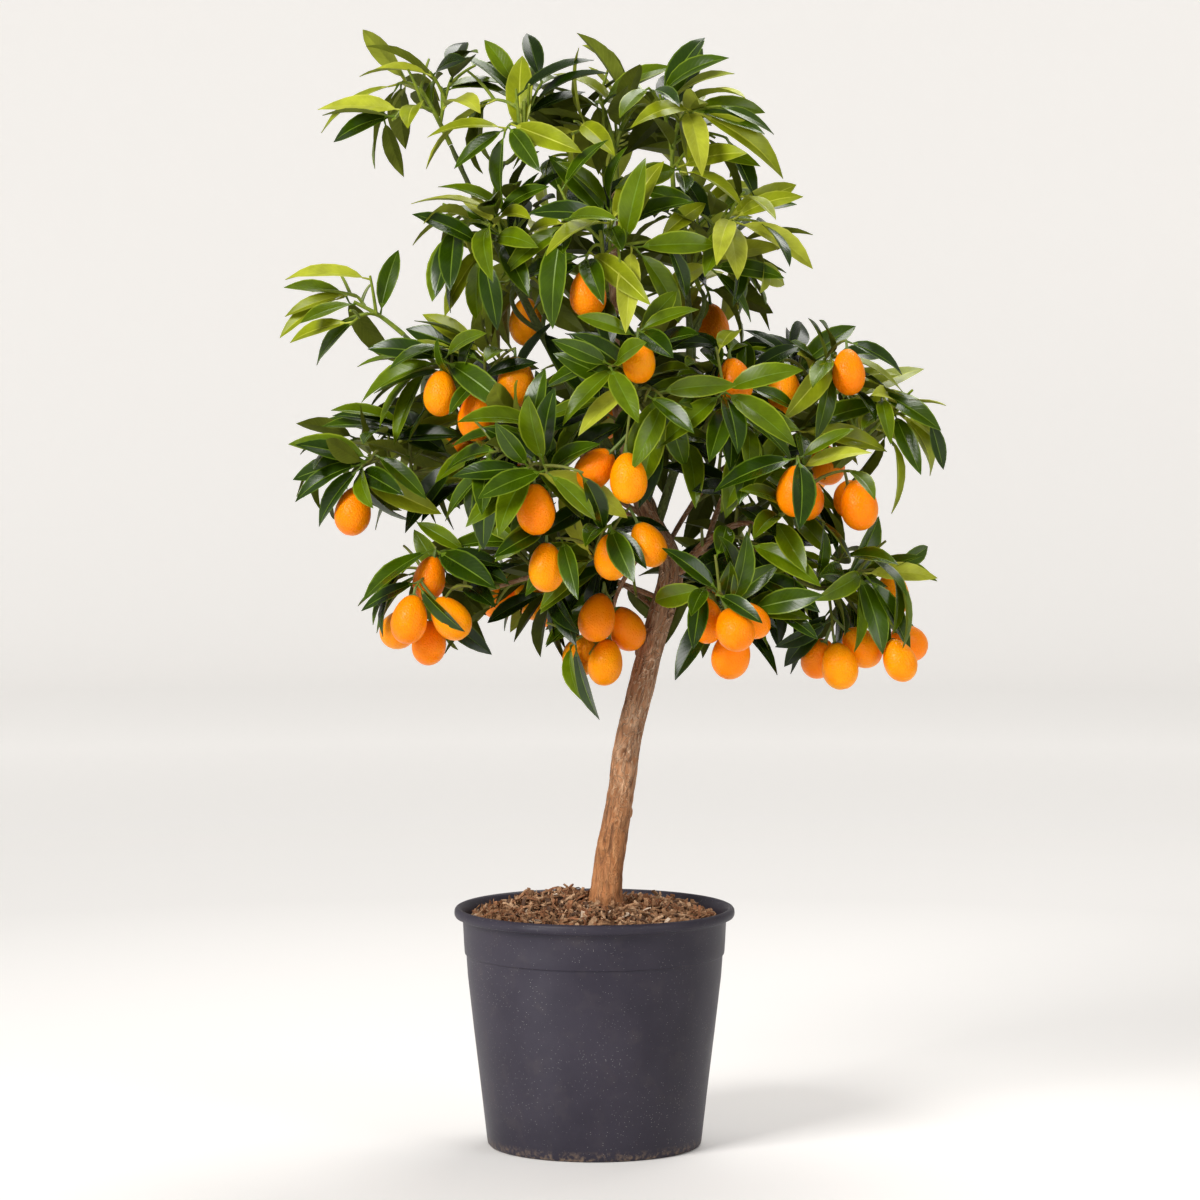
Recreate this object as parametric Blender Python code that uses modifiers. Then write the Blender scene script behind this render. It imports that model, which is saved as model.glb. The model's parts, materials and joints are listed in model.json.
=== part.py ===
"""A young kumquat tree in a round nursery pot, at its real size, in metres with +Z up.

The origin is the middle of the pot's flat underside. The front of the tree faces -Y, with +X to the right.
A leaning trunk stands on the potting soil and runs up through the crown. Every mass of foliage has one
bough, which leaves the trunk or a larger bough and ends where it enters the mass. Inside a mass one stem
goes on from the bough's tip, twigs branch from it by a seeded rule, and leaves and fruit grow on the twigs.
"""

import math
import random
from collections import namedtuple

import bmesh
import bpy
from mathutils import Matrix, Vector, noise
from mathutils.bvhtree import BVHTree

# Clearance between solids that touch on the real plant
SEAT = 0.0003

# The pot, a standard 24 cm nursery pot of about 7 litres
POT_HEIGHT = 0.205
RIM_RADIUS = 0.120
RIM_DEPTH = 0.0085
RIM_ROUND = 0.002
NECK_RADIUS = 0.1128
COLLAR_HEIGHT = 0.155
COLLAR_STEP = 0.0009
COLLAR_DRAFT = 0.0026
BASE_RADIUS = 0.0921
BASE_CHAMFER = 0.003
WALL = 0.0018
FLOOR = 0.003
POT_SIDES = 36
DRAIN_COUNT = 6
DRAIN_RADIUS = 0.005
DRAIN_CIRCLE = 0.072
DRAIN_TURN = 0.58
DRAIN_SIDES = 10

# The soil, a root ball that fills the pot and heaps up towards a flat pad under the trunk
SOIL_GAP = 0.0005
SOIL_EDGE_HEIGHT = 0.191
SOIL_PAD_HEIGHT = 0.2025
SOIL_RING_RADII = (0.032, 0.058, 0.084)
SOIL_LUMP = 0.004
SOIL_LUMP_SCALE = 38.0

# The trunk's middle line, from its flat cut on the soil to where it enters the top mass: x, y, z, radius
TRUNK = (
    (0.010, 0.000, 0.2028, 0.0195),
    (0.010, 0.000, 0.2070, 0.0165),
    (0.011, 0.000, 0.2200, 0.0141),
    (0.015, 0.000, 0.2620, 0.0130),
    (0.022, 0.000, 0.3060, 0.0118),
    (0.033, 0.000, 0.3640, 0.0113),
    (0.052, 0.000, 0.4400, 0.0112),
    (0.063, 0.000, 0.4800, 0.0114),
    (0.062, 0.000, 0.5060, 0.0104),
    (0.044, 0.002, 0.5450, 0.0090),
    (0.028, 0.004, 0.5950, 0.0074),
    (0.018, 0.005, 0.6600, 0.0056),
    (0.016, 0.005, 0.7300, 0.0043),
    (0.018, 0.005, 0.8180, 0.0030),
)
TRUNK_SIDES = 10

# A bough is as thick as the masses that it feeds ask for, and ends this share of the reach out from the
# middle of its own mass
BOUGH_SIDES = 5
BOUGH_STEPS = 4
BOUGH_RADIUS = 0.0024
BOUGH_TIP_RADIUS = 0.0019
ENTRY_SHARE = 0.55

# The stem inside a mass, which starts square to its bough's tip and runs a little past the middle
STEM_SIDES = 4
STEM_STEPS = 2
STEM_STRAIGHT = 0.004
STEM_OVERRUN = 0.25

# Twigs: leafy shoots fan out over most of a half ball that faces out and up, and fruit twigs arch over
TWIG_SIDES = 3
TWIG_STEPS = 2
TWIG_RADIUS = 0.0014
TWIG_TIP_RADIUS = 0.0009
TWIG_LIFT = 0.014
SHOOT_REACH = 0.42
SHOOT_SPREAD = 1.35
SHOOT_UPWARD = 0.55
SHOOT_FOOT = (0.25, 0.95)
FRUIT_TWIG_FEET = (0.3, 0.45, 0.6, 0.75, 0.9)

# Leaves, a little larger than life because they are fewer. Each pair of numbers is a range to draw from,
# and a width is half the blade's width as a share of its length.
LEAF_THICKNESS = 0.0016
MATURE_LENGTH = (0.072, 0.090)
MATURE_WIDTH = (0.20, 0.23)
MATURE_ARCH = (0.15, 0.50)
YOUNG_LENGTH = (0.082, 0.104)
YOUNG_WIDTH = (0.16, 0.18)
YOUNG_ARCH = (0.30, 0.80)
LEAF_FOLD = (0.2, 0.5)
LEAF_ROLL = (-0.5, 0.5)
SHOOT_LEAF_ANGLE = (0.80, 1.15)
WHORL_LEAF_ANGLE = (0.95, 1.25)
BARE_SHARE = 0.3
LEAF_GAP = 0.0162
SHOOT_WHORL = 3
FRUIT_WHORL = 4
WHORL_STEP = 0.0026
# A leaf that has no room is turned round its twig and shortened: turn in radians, share of its size
LEAF_TRIES = ((0.0, 1.0), (0.6, 1.0), (-0.6, 1.0), (1.2, 0.9), (-1.2, 0.9), (1.9, 0.85), (-1.9, 0.85),
              (2.7, 0.8), (0.3, 0.75), (-0.9, 0.7), (0.9, 0.7))
# How far leaves hang: level at the top of the crown, down in its lower part
HANG_TOP = -0.1
HANG_LOW = 0.18
HANG_HEIGHT = 0.86
HANG_RANGE = 0.36
# Leaves of the front half also turn their upper faces a little towards the light they grew in
WINDOW = Vector((-0.10, -0.45, 0.0))
WINDOW_DEPTH = 0.15

# Fruit: an egg shape on a stalk. A fruit that has no room is turned, tilted more and hung a little lower.
FRUIT_LENGTH = (0.0375, 0.0435)
FRUIT_WIDTH = (0.345, 0.375)
FRUIT_SIDES = 5
FRUIT_RINGS = 5
FRUIT_EGG = 0.08
FRUIT_STEP = 0.009
FRUIT_TRIES = 30
FRUIT_TILT = 0.12
FRUIT_TILT_GROWTH = 0.03
STALK_LENGTH = 0.007
STALK_GROWTH = 0.0006
STALK_RADIUS = 0.0012

# A mass may reach this far past the plane between it and a neighbour, where the neighbour leaves it room
CELL_OVERLAP = 0.028
LIMB_GAP = 0.0006
GOLDEN_ANGLE = math.pi * (3 - math.sqrt(5))
CROWN_AXIS_X = 0.03

Limb = namedtuple("Limb", "name points radii")
Fruit = namedtuple("Fruit", "foot axis stalk length width")
Traits = namedtuple("Traits", "away length width arch fold roll")
Leaf = namedtuple("Leaf", "foot along up length width arch fold")
Mass = namedtuple("Mass", "name parent share via centre reach shoots young fruit")

# The masses of foliage, from the top down. share is how far along its parent a bough leaves it, via is the
# point that bends the bough, reach is the half-size of the mass along x, y and z, shoots is how many leafy
# shoots it has, young is the share of pale new leaves, and fruit lists where a cluster hangs and its count.
MASSES = (
    Mass("top_left", "trunk", 0.56, (-0.050, 0.005, 0.690), (-0.142, 0.000, 0.892), (0.100, 0.090, 0.074),
         3, 0.75, ()),
    Mass("top_left_inner", "bough_top_left", 0.78, (-0.080, -0.010, 0.845), (-0.062, -0.035, 0.880),
         (0.088, 0.085, 0.082), 3, 0.6, ()),
    Mass("top_centre", "trunk", 1.0, None, (0.010, 0.010, 0.872), (0.084, 0.085, 0.088), 3, 0.7, ()),
    Mass("top_right", "trunk", 0.53, (0.100, 0.006, 0.650), (0.070, -0.020, 0.862), (0.086, 0.086, 0.092),
         4, 0.65, ()),
    Mass("top_back", "trunk", 0.80, (0.025, 0.040, 0.760), (0.010, 0.090, 0.850), (0.100, 0.085, 0.098),
         3, 0.6, ()),
    Mass("upper_left", "bough_top_left", 0.50, (-0.080, -0.015, 0.715), (-0.084, -0.040, 0.778),
         (0.080, 0.088, 0.086), 3, 0.45, ()),
    Mass("upper_front", "trunk", 0.74, (0.012, -0.020, 0.710), (0.006, -0.078, 0.772), (0.098, 0.086, 0.092),
         3, 0.35, (((-0.008, -0.090, 0.756), 1),)),
    Mass("upper_right", "bough_top_right", 0.55, (0.100, -0.005, 0.725), (0.098, -0.024, 0.776),
         (0.094, 0.090, 0.082), 4, 0.5, ()),
    Mass("upper_back_left", "bough_top_left", 0.38, (-0.050, 0.040, 0.690), (-0.055, 0.082, 0.745),
         (0.090, 0.088, 0.090), 3, 0.45, (((-0.060, 0.100, 0.730), 1),)),
    Mass("upper_back_right", "bough_top_right", 0.40, (0.090, 0.045, 0.680), (0.085, 0.088, 0.740),
         (0.090, 0.088, 0.090), 3, 0.45, (((0.100, 0.105, 0.725), 1),)),
    Mass("left_sprig", "bough_left_upper", 0.60, (-0.125, 0.000, 0.655), (-0.196, 0.008, 0.716),
         (0.084, 0.062, 0.062), 2, 0.8, ()),
    Mass("left_upper", "bough_top_left", 0.14, (-0.040, -0.010, 0.610), (-0.114, -0.040, 0.656),
         (0.086, 0.084, 0.080), 3, 0.15, (((-0.128, -0.066, 0.672), 1), ((-0.095, -0.070, 0.655), 1),
                                          ((-0.066, -0.062, 0.684), 1))),
    Mass("left_outer", "trunk", 0.545, (-0.060, -0.015, 0.610), (-0.180, -0.012, 0.590),
         (0.090, 0.084, 0.080), 3, 0.3, (((-0.200, -0.030, 0.572), 1),)),
    Mass("left_low", "trunk", 0.43, (-0.020, 0.005, 0.505), (-0.126, -0.036, 0.486), (0.084, 0.084, 0.074),
         2, 0.1, (((-0.134, -0.050, 0.516), 1), ((-0.150, -0.072, 0.484), 2), ((-0.136, -0.045, 0.460), 2))),
    Mass("centre_left", "trunk", 0.52, (0.010, -0.030, 0.560), (-0.054, -0.110, 0.590),
         (0.090, 0.086, 0.088), 3, 0.1, (((-0.050, -0.128, 0.580), 1), ((-0.040, -0.110, 0.530), 1))),
    Mass("centre_front", "trunk", 0.64, (0.028, -0.035, 0.620), (0.034, -0.108, 0.656),
         (0.086, 0.086, 0.088), 3, 0.15, (((0.036, -0.130, 0.702), 1), ((0.026, -0.140, 0.606), 2))),
    Mass("centre_low", "trunk", 0.48, (0.030, -0.030, 0.510), (0.002, -0.084, 0.510),
         (0.074, 0.074, 0.066), 2, 0.1, (((0.014, -0.098, 0.538), 1), ((0.030, -0.090, 0.552), 1))),
    Mass("hanging_sprig", "bough_centre_low", 0.60, (0.018, -0.035, 0.480), (0.000, -0.032, 0.432),
         (0.052, 0.056, 0.070), 1, 0.35, (((0.008, -0.040, 0.486), 2), ((0.014, -0.034, 0.444), 2))),
    Mass("mid_right", "bough_top_right", 0.20, (0.090, -0.030, 0.590), (0.108, -0.086, 0.632),
         (0.084, 0.082, 0.086), 3, 0.1, (((0.112, -0.090, 0.684), 1),)),
    Mass("right_upper", "bough_right_mid", 0.45, (0.120, 0.010, 0.600), (0.184, -0.010, 0.655),
         (0.084, 0.080, 0.066), 3, 0.3, (((0.212, -0.040, 0.690), 1), ((0.158, -0.050, 0.674), 1))),
    Mass("right_outer", "bough_right_mid", 0.70, (0.190, 0.010, 0.590), (0.238, 0.012, 0.616),
         (0.078, 0.074, 0.074), 3, 0.8, ()),
    Mass("right_mid", "trunk", 0.44, (0.100, -0.010, 0.540), (0.168, -0.092, 0.562), (0.088, 0.080, 0.080),
         2, 0.15, (((0.168, -0.118, 0.596), 2), ((0.218, -0.090, 0.582), 2))),
    Mass("right_low", "bough_right_mid", 0.35, (0.150, -0.010, 0.520), (0.210, -0.036, 0.486),
         (0.088, 0.086, 0.088), 2, 0.2,
         (((0.200, -0.075, 0.444), 3), ((0.244, -0.060, 0.450), 2), ((0.252, 0.000, 0.500), 1))),
    Mass("front_low", "bough_right_mid", 0.18, (0.090, -0.050, 0.510), (0.110, -0.110, 0.472),
         (0.082, 0.074, 0.074), 2, 0.05, (((0.088, -0.120, 0.486), 3), ((0.120, -0.110, 0.462), 1))),
    Mass("back_left", "trunk", 0.60, (-0.010, 0.060, 0.600), (-0.110, 0.100, 0.605), (0.094, 0.090, 0.092),
         3, 0.25, (((-0.120, 0.135, 0.612), 2), ((-0.070, 0.140, 0.600), 1))),
    Mass("back_middle", "trunk", 0.63, (0.025, 0.060, 0.620), (0.030, 0.145, 0.635), (0.090, 0.088, 0.092),
         3, 0.2, (((0.010, 0.175, 0.642), 1), ((0.050, 0.170, 0.610), 2))),
    Mass("back_right", "trunk", 0.50, (0.100, 0.060, 0.580), (0.158, 0.098, 0.618), (0.088, 0.088, 0.090),
         3, 0.25, (((0.160, 0.135, 0.632), 1), ((0.190, 0.110, 0.600), 2))),
    Mass("back_left_low", "trunk", 0.41, (0.010, 0.060, 0.500), (-0.058, 0.100, 0.486),
         (0.090, 0.086, 0.072), 2, 0.1, (((-0.080, 0.120, 0.490), 2), ((-0.040, 0.130, 0.480), 1))),
    Mass("back_right_low", "trunk", 0.42, (0.080, 0.060, 0.500), (0.118, 0.090, 0.486),
         (0.090, 0.086, 0.074), 2, 0.1, (((0.130, 0.120, 0.490), 2), ((0.095, 0.125, 0.480), 1))),
)

COLOURS = {
    "pot": ((0.030, 0.030, 0.036), 0.50),
    "soil": ((0.120, 0.065, 0.035), 0.95),
    "bark": ((0.230, 0.145, 0.085), 0.85),
    "foliage": ((0.060, 0.150, 0.020), 0.35),
}


def make_material(name):
    """The plain finish of one kind of sub-part."""
    colour, roughness = COLOURS[name]
    material = bpy.data.materials.new(name)
    material.use_nodes = True
    shader = material.node_tree.nodes["Principled BSDF"]
    shader.inputs["Base Color"].default_value = (*colour, 1.0)
    shader.inputs["Roughness"].default_value = roughness
    shader.inputs["Metallic"].default_value = 0.0
    material.diffuse_color = (*colour, 1.0)
    return material


def new_object(name, shape, collection, material=None):
    """An object made from a bmesh, which is used up."""
    mesh = bpy.data.meshes.new(name)
    shape.to_mesh(mesh)
    shape.free()
    if material:
        mesh.materials.append(material)
    made = bpy.data.objects.new(name, mesh)
    collection.objects.link(made)
    return made


def mesh_bmesh(mesh):
    shape = bmesh.new()
    shape.from_mesh(mesh)
    return shape


def evaluated_mesh(source):
    """The object's mesh with its modifiers applied, or a curve's tube as a mesh."""
    graph = bpy.context.evaluated_depsgraph_get()
    graph.update()
    return bpy.data.meshes.new_from_object(source.evaluated_get(graph))


def apply_modifiers(made):
    """Makes what the modifiers show the object's own mesh, with its material kept."""
    material = made.data.materials[0]
    made.data = evaluated_mesh(made)
    made.modifiers.clear()
    made.data.materials.clear()
    made.data.materials.append(material)


def cut(target, cutter):
    """Cuts one solid out of another and removes the cutter."""
    difference = target.modifiers.new("cut", "BOOLEAN")
    difference.operation = "DIFFERENCE"
    difference.object = cutter
    difference.solver = "EXACT"
    apply_modifiers(target)
    bpy.data.objects.remove(cutter)


def lathe(name, profile, sides, collection, material):
    """A solid turned round the vertical axis, from a profile of (radius, height) points that ends on it."""
    shape = bmesh.new()
    verts = [shape.verts.new((radius, 0.0, height)) for radius, height in profile]
    for a, b in zip(verts, verts[1:]):
        shape.edges.new((a, b))
    made = new_object(name, shape, collection, material)
    screw = made.modifiers.new("turn", "SCREW")
    screw.angle = 2 * math.pi
    screw.steps = sides
    screw.render_steps = sides
    screw.use_merge_vertices = True
    screw.merge_threshold = 1e-5
    apply_modifiers(made)
    turned = mesh_bmesh(made.data)
    bmesh.ops.remove_doubles(turned, verts=turned.verts, dist=1e-6)
    bmesh.ops.recalc_face_normals(turned, faces=turned.faces)
    turned.to_mesh(made.data)
    turned.free()
    return made


def wall_radius(height):
    """The outer radius of the pot's tapering wall, below its collar."""
    share = (height - BASE_CHAMFER) / (COLLAR_HEIGHT - BASE_CHAMFER)
    top = NECK_RADIUS - COLLAR_DRAFT - COLLAR_STEP
    return BASE_RADIUS + (top - BASE_RADIUS) * share


def collar_radius(height):
    """The inner radius of the pot's wall between the collar step and the rim, where soil meets it."""
    low = wall_radius(COLLAR_HEIGHT) - WALL
    share = (height - COLLAR_HEIGHT) / (POT_HEIGHT - RIM_DEPTH - COLLAR_HEIGHT)
    return low + (NECK_RADIUS - WALL - low) * share


def make_pot(collection, material):
    """The pot: a tapering shell with a shallow collar, a rolled rim and drain holes in its floor."""
    rim_under = POT_HEIGHT - RIM_DEPTH
    profile = (
        (0.0, FLOOR),
        (wall_radius(FLOOR) - WALL, FLOOR),
        (wall_radius(COLLAR_HEIGHT) - WALL, COLLAR_HEIGHT),
        (NECK_RADIUS - WALL, rim_under),
        (NECK_RADIUS + RIM_ROUND, POT_HEIGHT - RIM_ROUND / 2),
        (NECK_RADIUS + 2 * RIM_ROUND, POT_HEIGHT),
        (RIM_RADIUS - RIM_ROUND, POT_HEIGHT),
        (RIM_RADIUS, POT_HEIGHT - RIM_ROUND),
        (RIM_RADIUS - RIM_ROUND / 2, rim_under),
        (NECK_RADIUS, rim_under + RIM_ROUND / 4),
        (NECK_RADIUS - COLLAR_DRAFT, COLLAR_HEIGHT + COLLAR_STEP),
        (wall_radius(COLLAR_HEIGHT), COLLAR_HEIGHT),
        (BASE_RADIUS, BASE_CHAMFER),
        (BASE_RADIUS - BASE_CHAMFER, 0.0),
        (0.0, 0.0),
    )
    pot = lathe("pot", profile, POT_SIDES, collection, material)
    for index in range(DRAIN_COUNT):
        angle = 2 * math.pi * index / DRAIN_COUNT + DRAIN_TURN
        shape = bmesh.new()
        bmesh.ops.create_cone(shape, cap_ends=True, segments=DRAIN_SIDES, radius1=DRAIN_RADIUS,
                              radius2=DRAIN_RADIUS, depth=4 * FLOOR)
        place = (DRAIN_CIRCLE * math.cos(angle), DRAIN_CIRCLE * math.sin(angle), FLOOR / 2)
        bmesh.ops.translate(shape, verts=shape.verts, vec=place)
        cut(pot, new_object("drain", shape, collection))


def make_soil(collection, material):
    """The root ball: it follows the pot's inner wall, under a heaped and lumpy top with a flat pad."""
    lowest = FLOOR + SEAT
    pad_radius = SOIL_RING_RADII[0]
    edge_radius = collar_radius(SOIL_EDGE_HEIGHT) - SOIL_GAP
    profile = [(0.0, SOIL_PAD_HEIGHT), (pad_radius, SOIL_PAD_HEIGHT)]
    for radius in SOIL_RING_RADII[1:]:
        share = (radius - pad_radius) / (edge_radius - pad_radius)
        profile.append((radius, SOIL_PAD_HEIGHT + (SOIL_EDGE_HEIGHT - SOIL_PAD_HEIGHT) * share))
    profile.append((edge_radius, SOIL_EDGE_HEIGHT))
    profile.append((collar_radius(COLLAR_HEIGHT) - SOIL_GAP, COLLAR_HEIGHT))
    profile.append((wall_radius(lowest) - WALL - SOIL_GAP, lowest))
    profile.append((0.0, lowest))
    soil = lathe("soil", profile, POT_SIDES, collection, material)
    for vert in soil.data.vertices:
        radius = math.hypot(vert.co.x, vert.co.y)
        if vert.co.z > COLLAR_HEIGHT and SOIL_RING_RADII[0] + SEAT < radius < SOIL_RING_RADII[-1] + SEAT:
            place = Vector((vert.co.x, vert.co.y, 0.0)) * SOIL_LUMP_SCALE
            vert.co.z += SOIL_LUMP * noise.noise(place)


def tube(limb, sides):
    """A tapering tube with flat ends: a curve swept with a regular outline, whose caps are then welded."""
    outline = bpy.data.curves.new("outline", "CURVE")
    ring = outline.splines.new("POLY")
    ring.points.add(sides - 1)
    for index, point in enumerate(ring.points):
        angle = 2 * math.pi * index / sides
        point.co = (math.cos(angle), math.sin(angle), 0.0, 1.0)
    ring.use_cyclic_u = True
    curve = bpy.data.curves.new("line", "CURVE")
    curve.dimensions = "3D"
    line = curve.splines.new("POLY")
    line.points.add(len(limb.points) - 1)
    for point, place, radius in zip(line.points, limb.points, limb.radii):
        point.co = (*place, 1.0)
        point.radius = radius
    outline_object = bpy.data.objects.new("outline", outline)
    line_object = bpy.data.objects.new("line", curve)
    bpy.context.scene.collection.objects.link(outline_object)
    bpy.context.scene.collection.objects.link(line_object)
    curve.bevel_mode = "OBJECT"
    curve.bevel_object = outline_object
    curve.use_fill_caps = True
    mesh = evaluated_mesh(line_object)
    shape = mesh_bmesh(mesh)
    bmesh.ops.remove_doubles(shape, verts=shape.verts, dist=1e-6)
    bmesh.ops.recalc_face_normals(shape, faces=shape.faces)
    bpy.data.objects.remove(line_object)
    bpy.data.objects.remove(outline_object)
    bpy.data.meshes.remove(mesh)
    return shape


def bend_points(start, via, end, steps):
    """Points along a quadratic bend from start to end, pulled towards via."""
    shares = [index / steps for index in range(steps + 1)]
    return [start * (1 - s) ** 2 + via * (2 * s * (1 - s)) + end * s * s for s in shares]


def taper(first, last, steps):
    return [first + (last - first) * index / steps for index in range(steps + 1)]


def limb_length(limb):
    return sum((b - a).length for a, b in zip(limb.points, limb.points[1:]))


def along_limb(limb, share):
    """The point, direction and radius at a share of the limb's length."""
    left = share * limb_length(limb)
    for a, b, first, last in zip(limb.points, limb.points[1:], limb.radii, limb.radii[1:]):
        length = (b - a).length
        if left <= length:
            break
        left -= length
    else:
        left = length
    part = left / length
    return a.lerp(b, part), (b - a).normalized(), first + (last - first) * part


def masses_fed(name):
    """How many masses a bough feeds: its own, and those of the boughs that leave it."""
    return 1 + sum(masses_fed("bough_" + mass.name) for mass in MASSES if mass.parent == name)


def reach_share(mass, point):
    """How far out a point lies from the middle of a mass, where 1 is the edge of its reach."""
    way = point - Vector(mass.centre)
    return Vector(part / reach for part, reach in zip(way, mass.reach)).length


def bough_line(mass, parent):
    """The bough of one mass: it leaves its parent's middle line and ends where it enters the mass."""
    foot, _, _ = along_limb(parent, mass.share)
    centre = Vector(mass.centre)
    end = centre + (foot - centre) * (ENTRY_SHARE / reach_share(mass, foot))
    name = "bough_" + mass.name
    first_radius = BOUGH_RADIUS * math.sqrt(masses_fed(name))
    points = bend_points(foot, Vector(mass.via), end, BOUGH_STEPS)
    return Limb(name, points, taper(first_radius, BOUGH_TIP_RADIUS, BOUGH_STEPS))


def grow_limbs():
    """The trunk and the boughs as middle lines with radii, each bough after the limb that it leaves."""
    trunk = Limb("trunk", [Vector(point[:3]) for point in TRUNK], [point[3] for point in TRUNK])
    limbs = {"trunk": trunk}
    waiting = [mass for mass in MASSES if mass.via]
    while waiting:
        mass = waiting.pop(0)
        if mass.parent in limbs:
            limbs["bough_" + mass.name] = bough_line(mass, limbs[mass.parent])
        else:
            waiting.append(mass)
    return limbs


def limb_sides(limb):
    return TRUNK_SIDES if limb.name == "trunk" else BOUGH_SIDES


def swollen(limb, extra):
    """A limb with all its radii larger by the same amount."""
    return limb._replace(radii=[radius + extra for radius in limb.radii])


def make_limbs(limbs, collection, cutters, material):
    """The trunk and boughs as solids. A bough's foot is cut to fit its parent, a seat's width clear of it."""
    for limb in limbs.values():
        new_object(limb.name, tube(limb, limb_sides(limb)), collection, material)
    for mass in MASSES:
        if mass.via:
            parent = limbs[mass.parent]
            bough = bpy.data.objects["bough_" + mass.name]
            cutter = tube(swollen(parent, SEAT), limb_sides(parent))
            cut(bough, new_object("cutter", cutter, cutters))
            keep_one_body(bough.data)


def in_space(mass, points):
    """True if every point is within the mass's reach, and no further past the plane between the mass and a
    neighbour than the overlap allows."""
    centre = Vector(mass.centre)
    size = sum(mass.reach) / 3
    for point in points:
        if reach_share(mass, point) > 1.0:
            return False
        own = (point - centre).length_squared - size ** 2
        for other in MASSES:
            if other is not mass:
                middle = Vector(other.centre)
                theirs = (point - middle).length_squared - (sum(other.reach) / 3) ** 2
                if (theirs - own) / (2 * (middle - centre).length) < -CELL_OVERLAP:
                    return False
    return True


def square_to(direction, angle):
    """A unit vector square to direction, turned by angle round it."""
    side = direction.cross(Vector((0, 0, 1)))
    if side.length < 0.05:
        side = direction.cross(Vector((1, 0, 0)))
    return Matrix.Rotation(angle, 3, direction) @ side.normalized()


def outward(point):
    """The level direction away from the crown's axis."""
    way = Vector((point[0] - CROWN_AXIS_X, point[1], 0.0))
    return way.normalized() if way.length > 0.01 else Vector((0, -1, 0))


def mass_stem(mass, limbs):
    """The stem that goes on from the bough's tip, a seat's width clear of it and square to it at first."""
    tip, direction, radius = along_limb(limbs["bough_" + mass.name if mass.via else mass.parent], 1.0)
    centre = Vector(mass.centre)
    start = tip + direction * SEAT
    root = start + direction * STEM_STRAIGHT
    end = centre + (centre - tip) * STEM_OVERRUN
    points = bend_points(root, root + direction * (end - root).length / 2, end, STEM_STEPS)
    return Limb(mass.name, [start, *points], [radius, *taper(radius, TWIG_RADIUS, STEM_STEPS)])


def twig_line(foot, end):
    """A twig that rises a little in the middle on its way from foot to end."""
    via = foot.lerp(end, 0.5) + Vector((0, 0, TWIG_LIFT))
    points = bend_points(foot, via, end, TWIG_STEPS)
    return Limb("twig", points, taper(TWIG_RADIUS, TWIG_TIP_RADIUS, TWIG_STEPS))


def leafy_shoots(mass, stem):
    """Shoots that fan out from the stem by the golden angle, outwards and upwards."""
    centre = Vector(mass.centre)
    axis = (outward(centre) + Vector((0, 0, SHOOT_UPWARD))).normalized()
    shoots = []
    for index in range(mass.shoots):
        draw = random.Random(f"{mass.name} shoot {index}")
        share = (index + 0.5) / mass.shoots
        tilt = math.acos(1 - SHOOT_SPREAD * share)
        around = square_to(axis, GOLDEN_ANGLE * index + draw.uniform(-0.4, 0.4))
        direction = axis * math.cos(tilt) + around * math.sin(tilt)
        tip = centre + Vector(part * reach for part, reach in zip(direction, mass.reach)) * SHOOT_REACH
        foot, _, _ = along_limb(stem, SHOOT_FOOT[1] + (SHOOT_FOOT[0] - SHOOT_FOOT[1]) * share)
        shoots.append(twig_line(foot, tip))
    return shoots


def fruit_twig(stem, hang):
    """The twig that carries a fruit cluster: it leaves the stem at the place nearest to the cluster."""
    feet = [along_limb(stem, share)[0] for share in FRUIT_TWIG_FEET]
    return twig_line(min(feet, key=lambda foot: (foot - hang).length), hang)


def span_gap(a, b, c, d):
    """The least distance between two straight spans, taken between five places along each."""
    shares = (0.0, 0.25, 0.5, 0.75, 1.0)
    return min((a.lerp(b, s) - c.lerp(d, t)).length for s in shares for t in shares)


def fruit_span(fruit):
    """The middle of a fruit's axis: the whole fruit lies within its width of this span."""
    top = fruit.foot + fruit.axis * fruit.stalk
    return top + fruit.axis * fruit.width, top + fruit.axis * (fruit.length - fruit.width)


def fruit_has_room(fruit, others, limbs):
    """True if a fruit keeps clear of the fruit before it and of every limb."""
    start, end = fruit_span(fruit)
    for other in others:
        if span_gap(start, end, *fruit_span(other)) < fruit.width + other.width:
            return False
    for limb in limbs.values():
        for a, b, radius in zip(limb.points, limb.points[1:], limb.radii):
            if span_gap(start, end, a, b) < fruit.width + radius + LIMB_GAP:
                return False
    return True


def cluster_fruit(mass, number, twig, count, others, limbs):
    """Fruit that hangs near a twig's tip, each turned and tilted until it is clear of the rest."""
    draw = random.Random(f"{mass.name} fruit {number}")
    turn = draw.uniform(0, 2 * math.pi)
    found = []
    for index in range(count):
        length = draw.uniform(*FRUIT_LENGTH)
        width = length * draw.uniform(*FRUIT_WIDTH)
        foot, _, _ = along_limb(twig, 1 - (FRUIT_STEP * index + TWIG_TIP_RADIUS) / limb_length(twig))
        for attempt in range(FRUIT_TRIES):
            angle = turn + GOLDEN_ANGLE * (index + attempt)
            tilt = FRUIT_TILT + FRUIT_TILT_GROWTH * attempt
            side = Vector((math.cos(angle), math.sin(angle), 0.0))
            axis = Vector((0, 0, -math.cos(tilt))) + side * math.sin(tilt) + outward(foot) * 0.1
            fruit = Fruit(foot, axis.normalized(), STALK_LENGTH + STALK_GROWTH * attempt, length, width)
            if fruit_has_room(fruit, others + found, limbs):
                found.append(fruit)
                break
    return found


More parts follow.
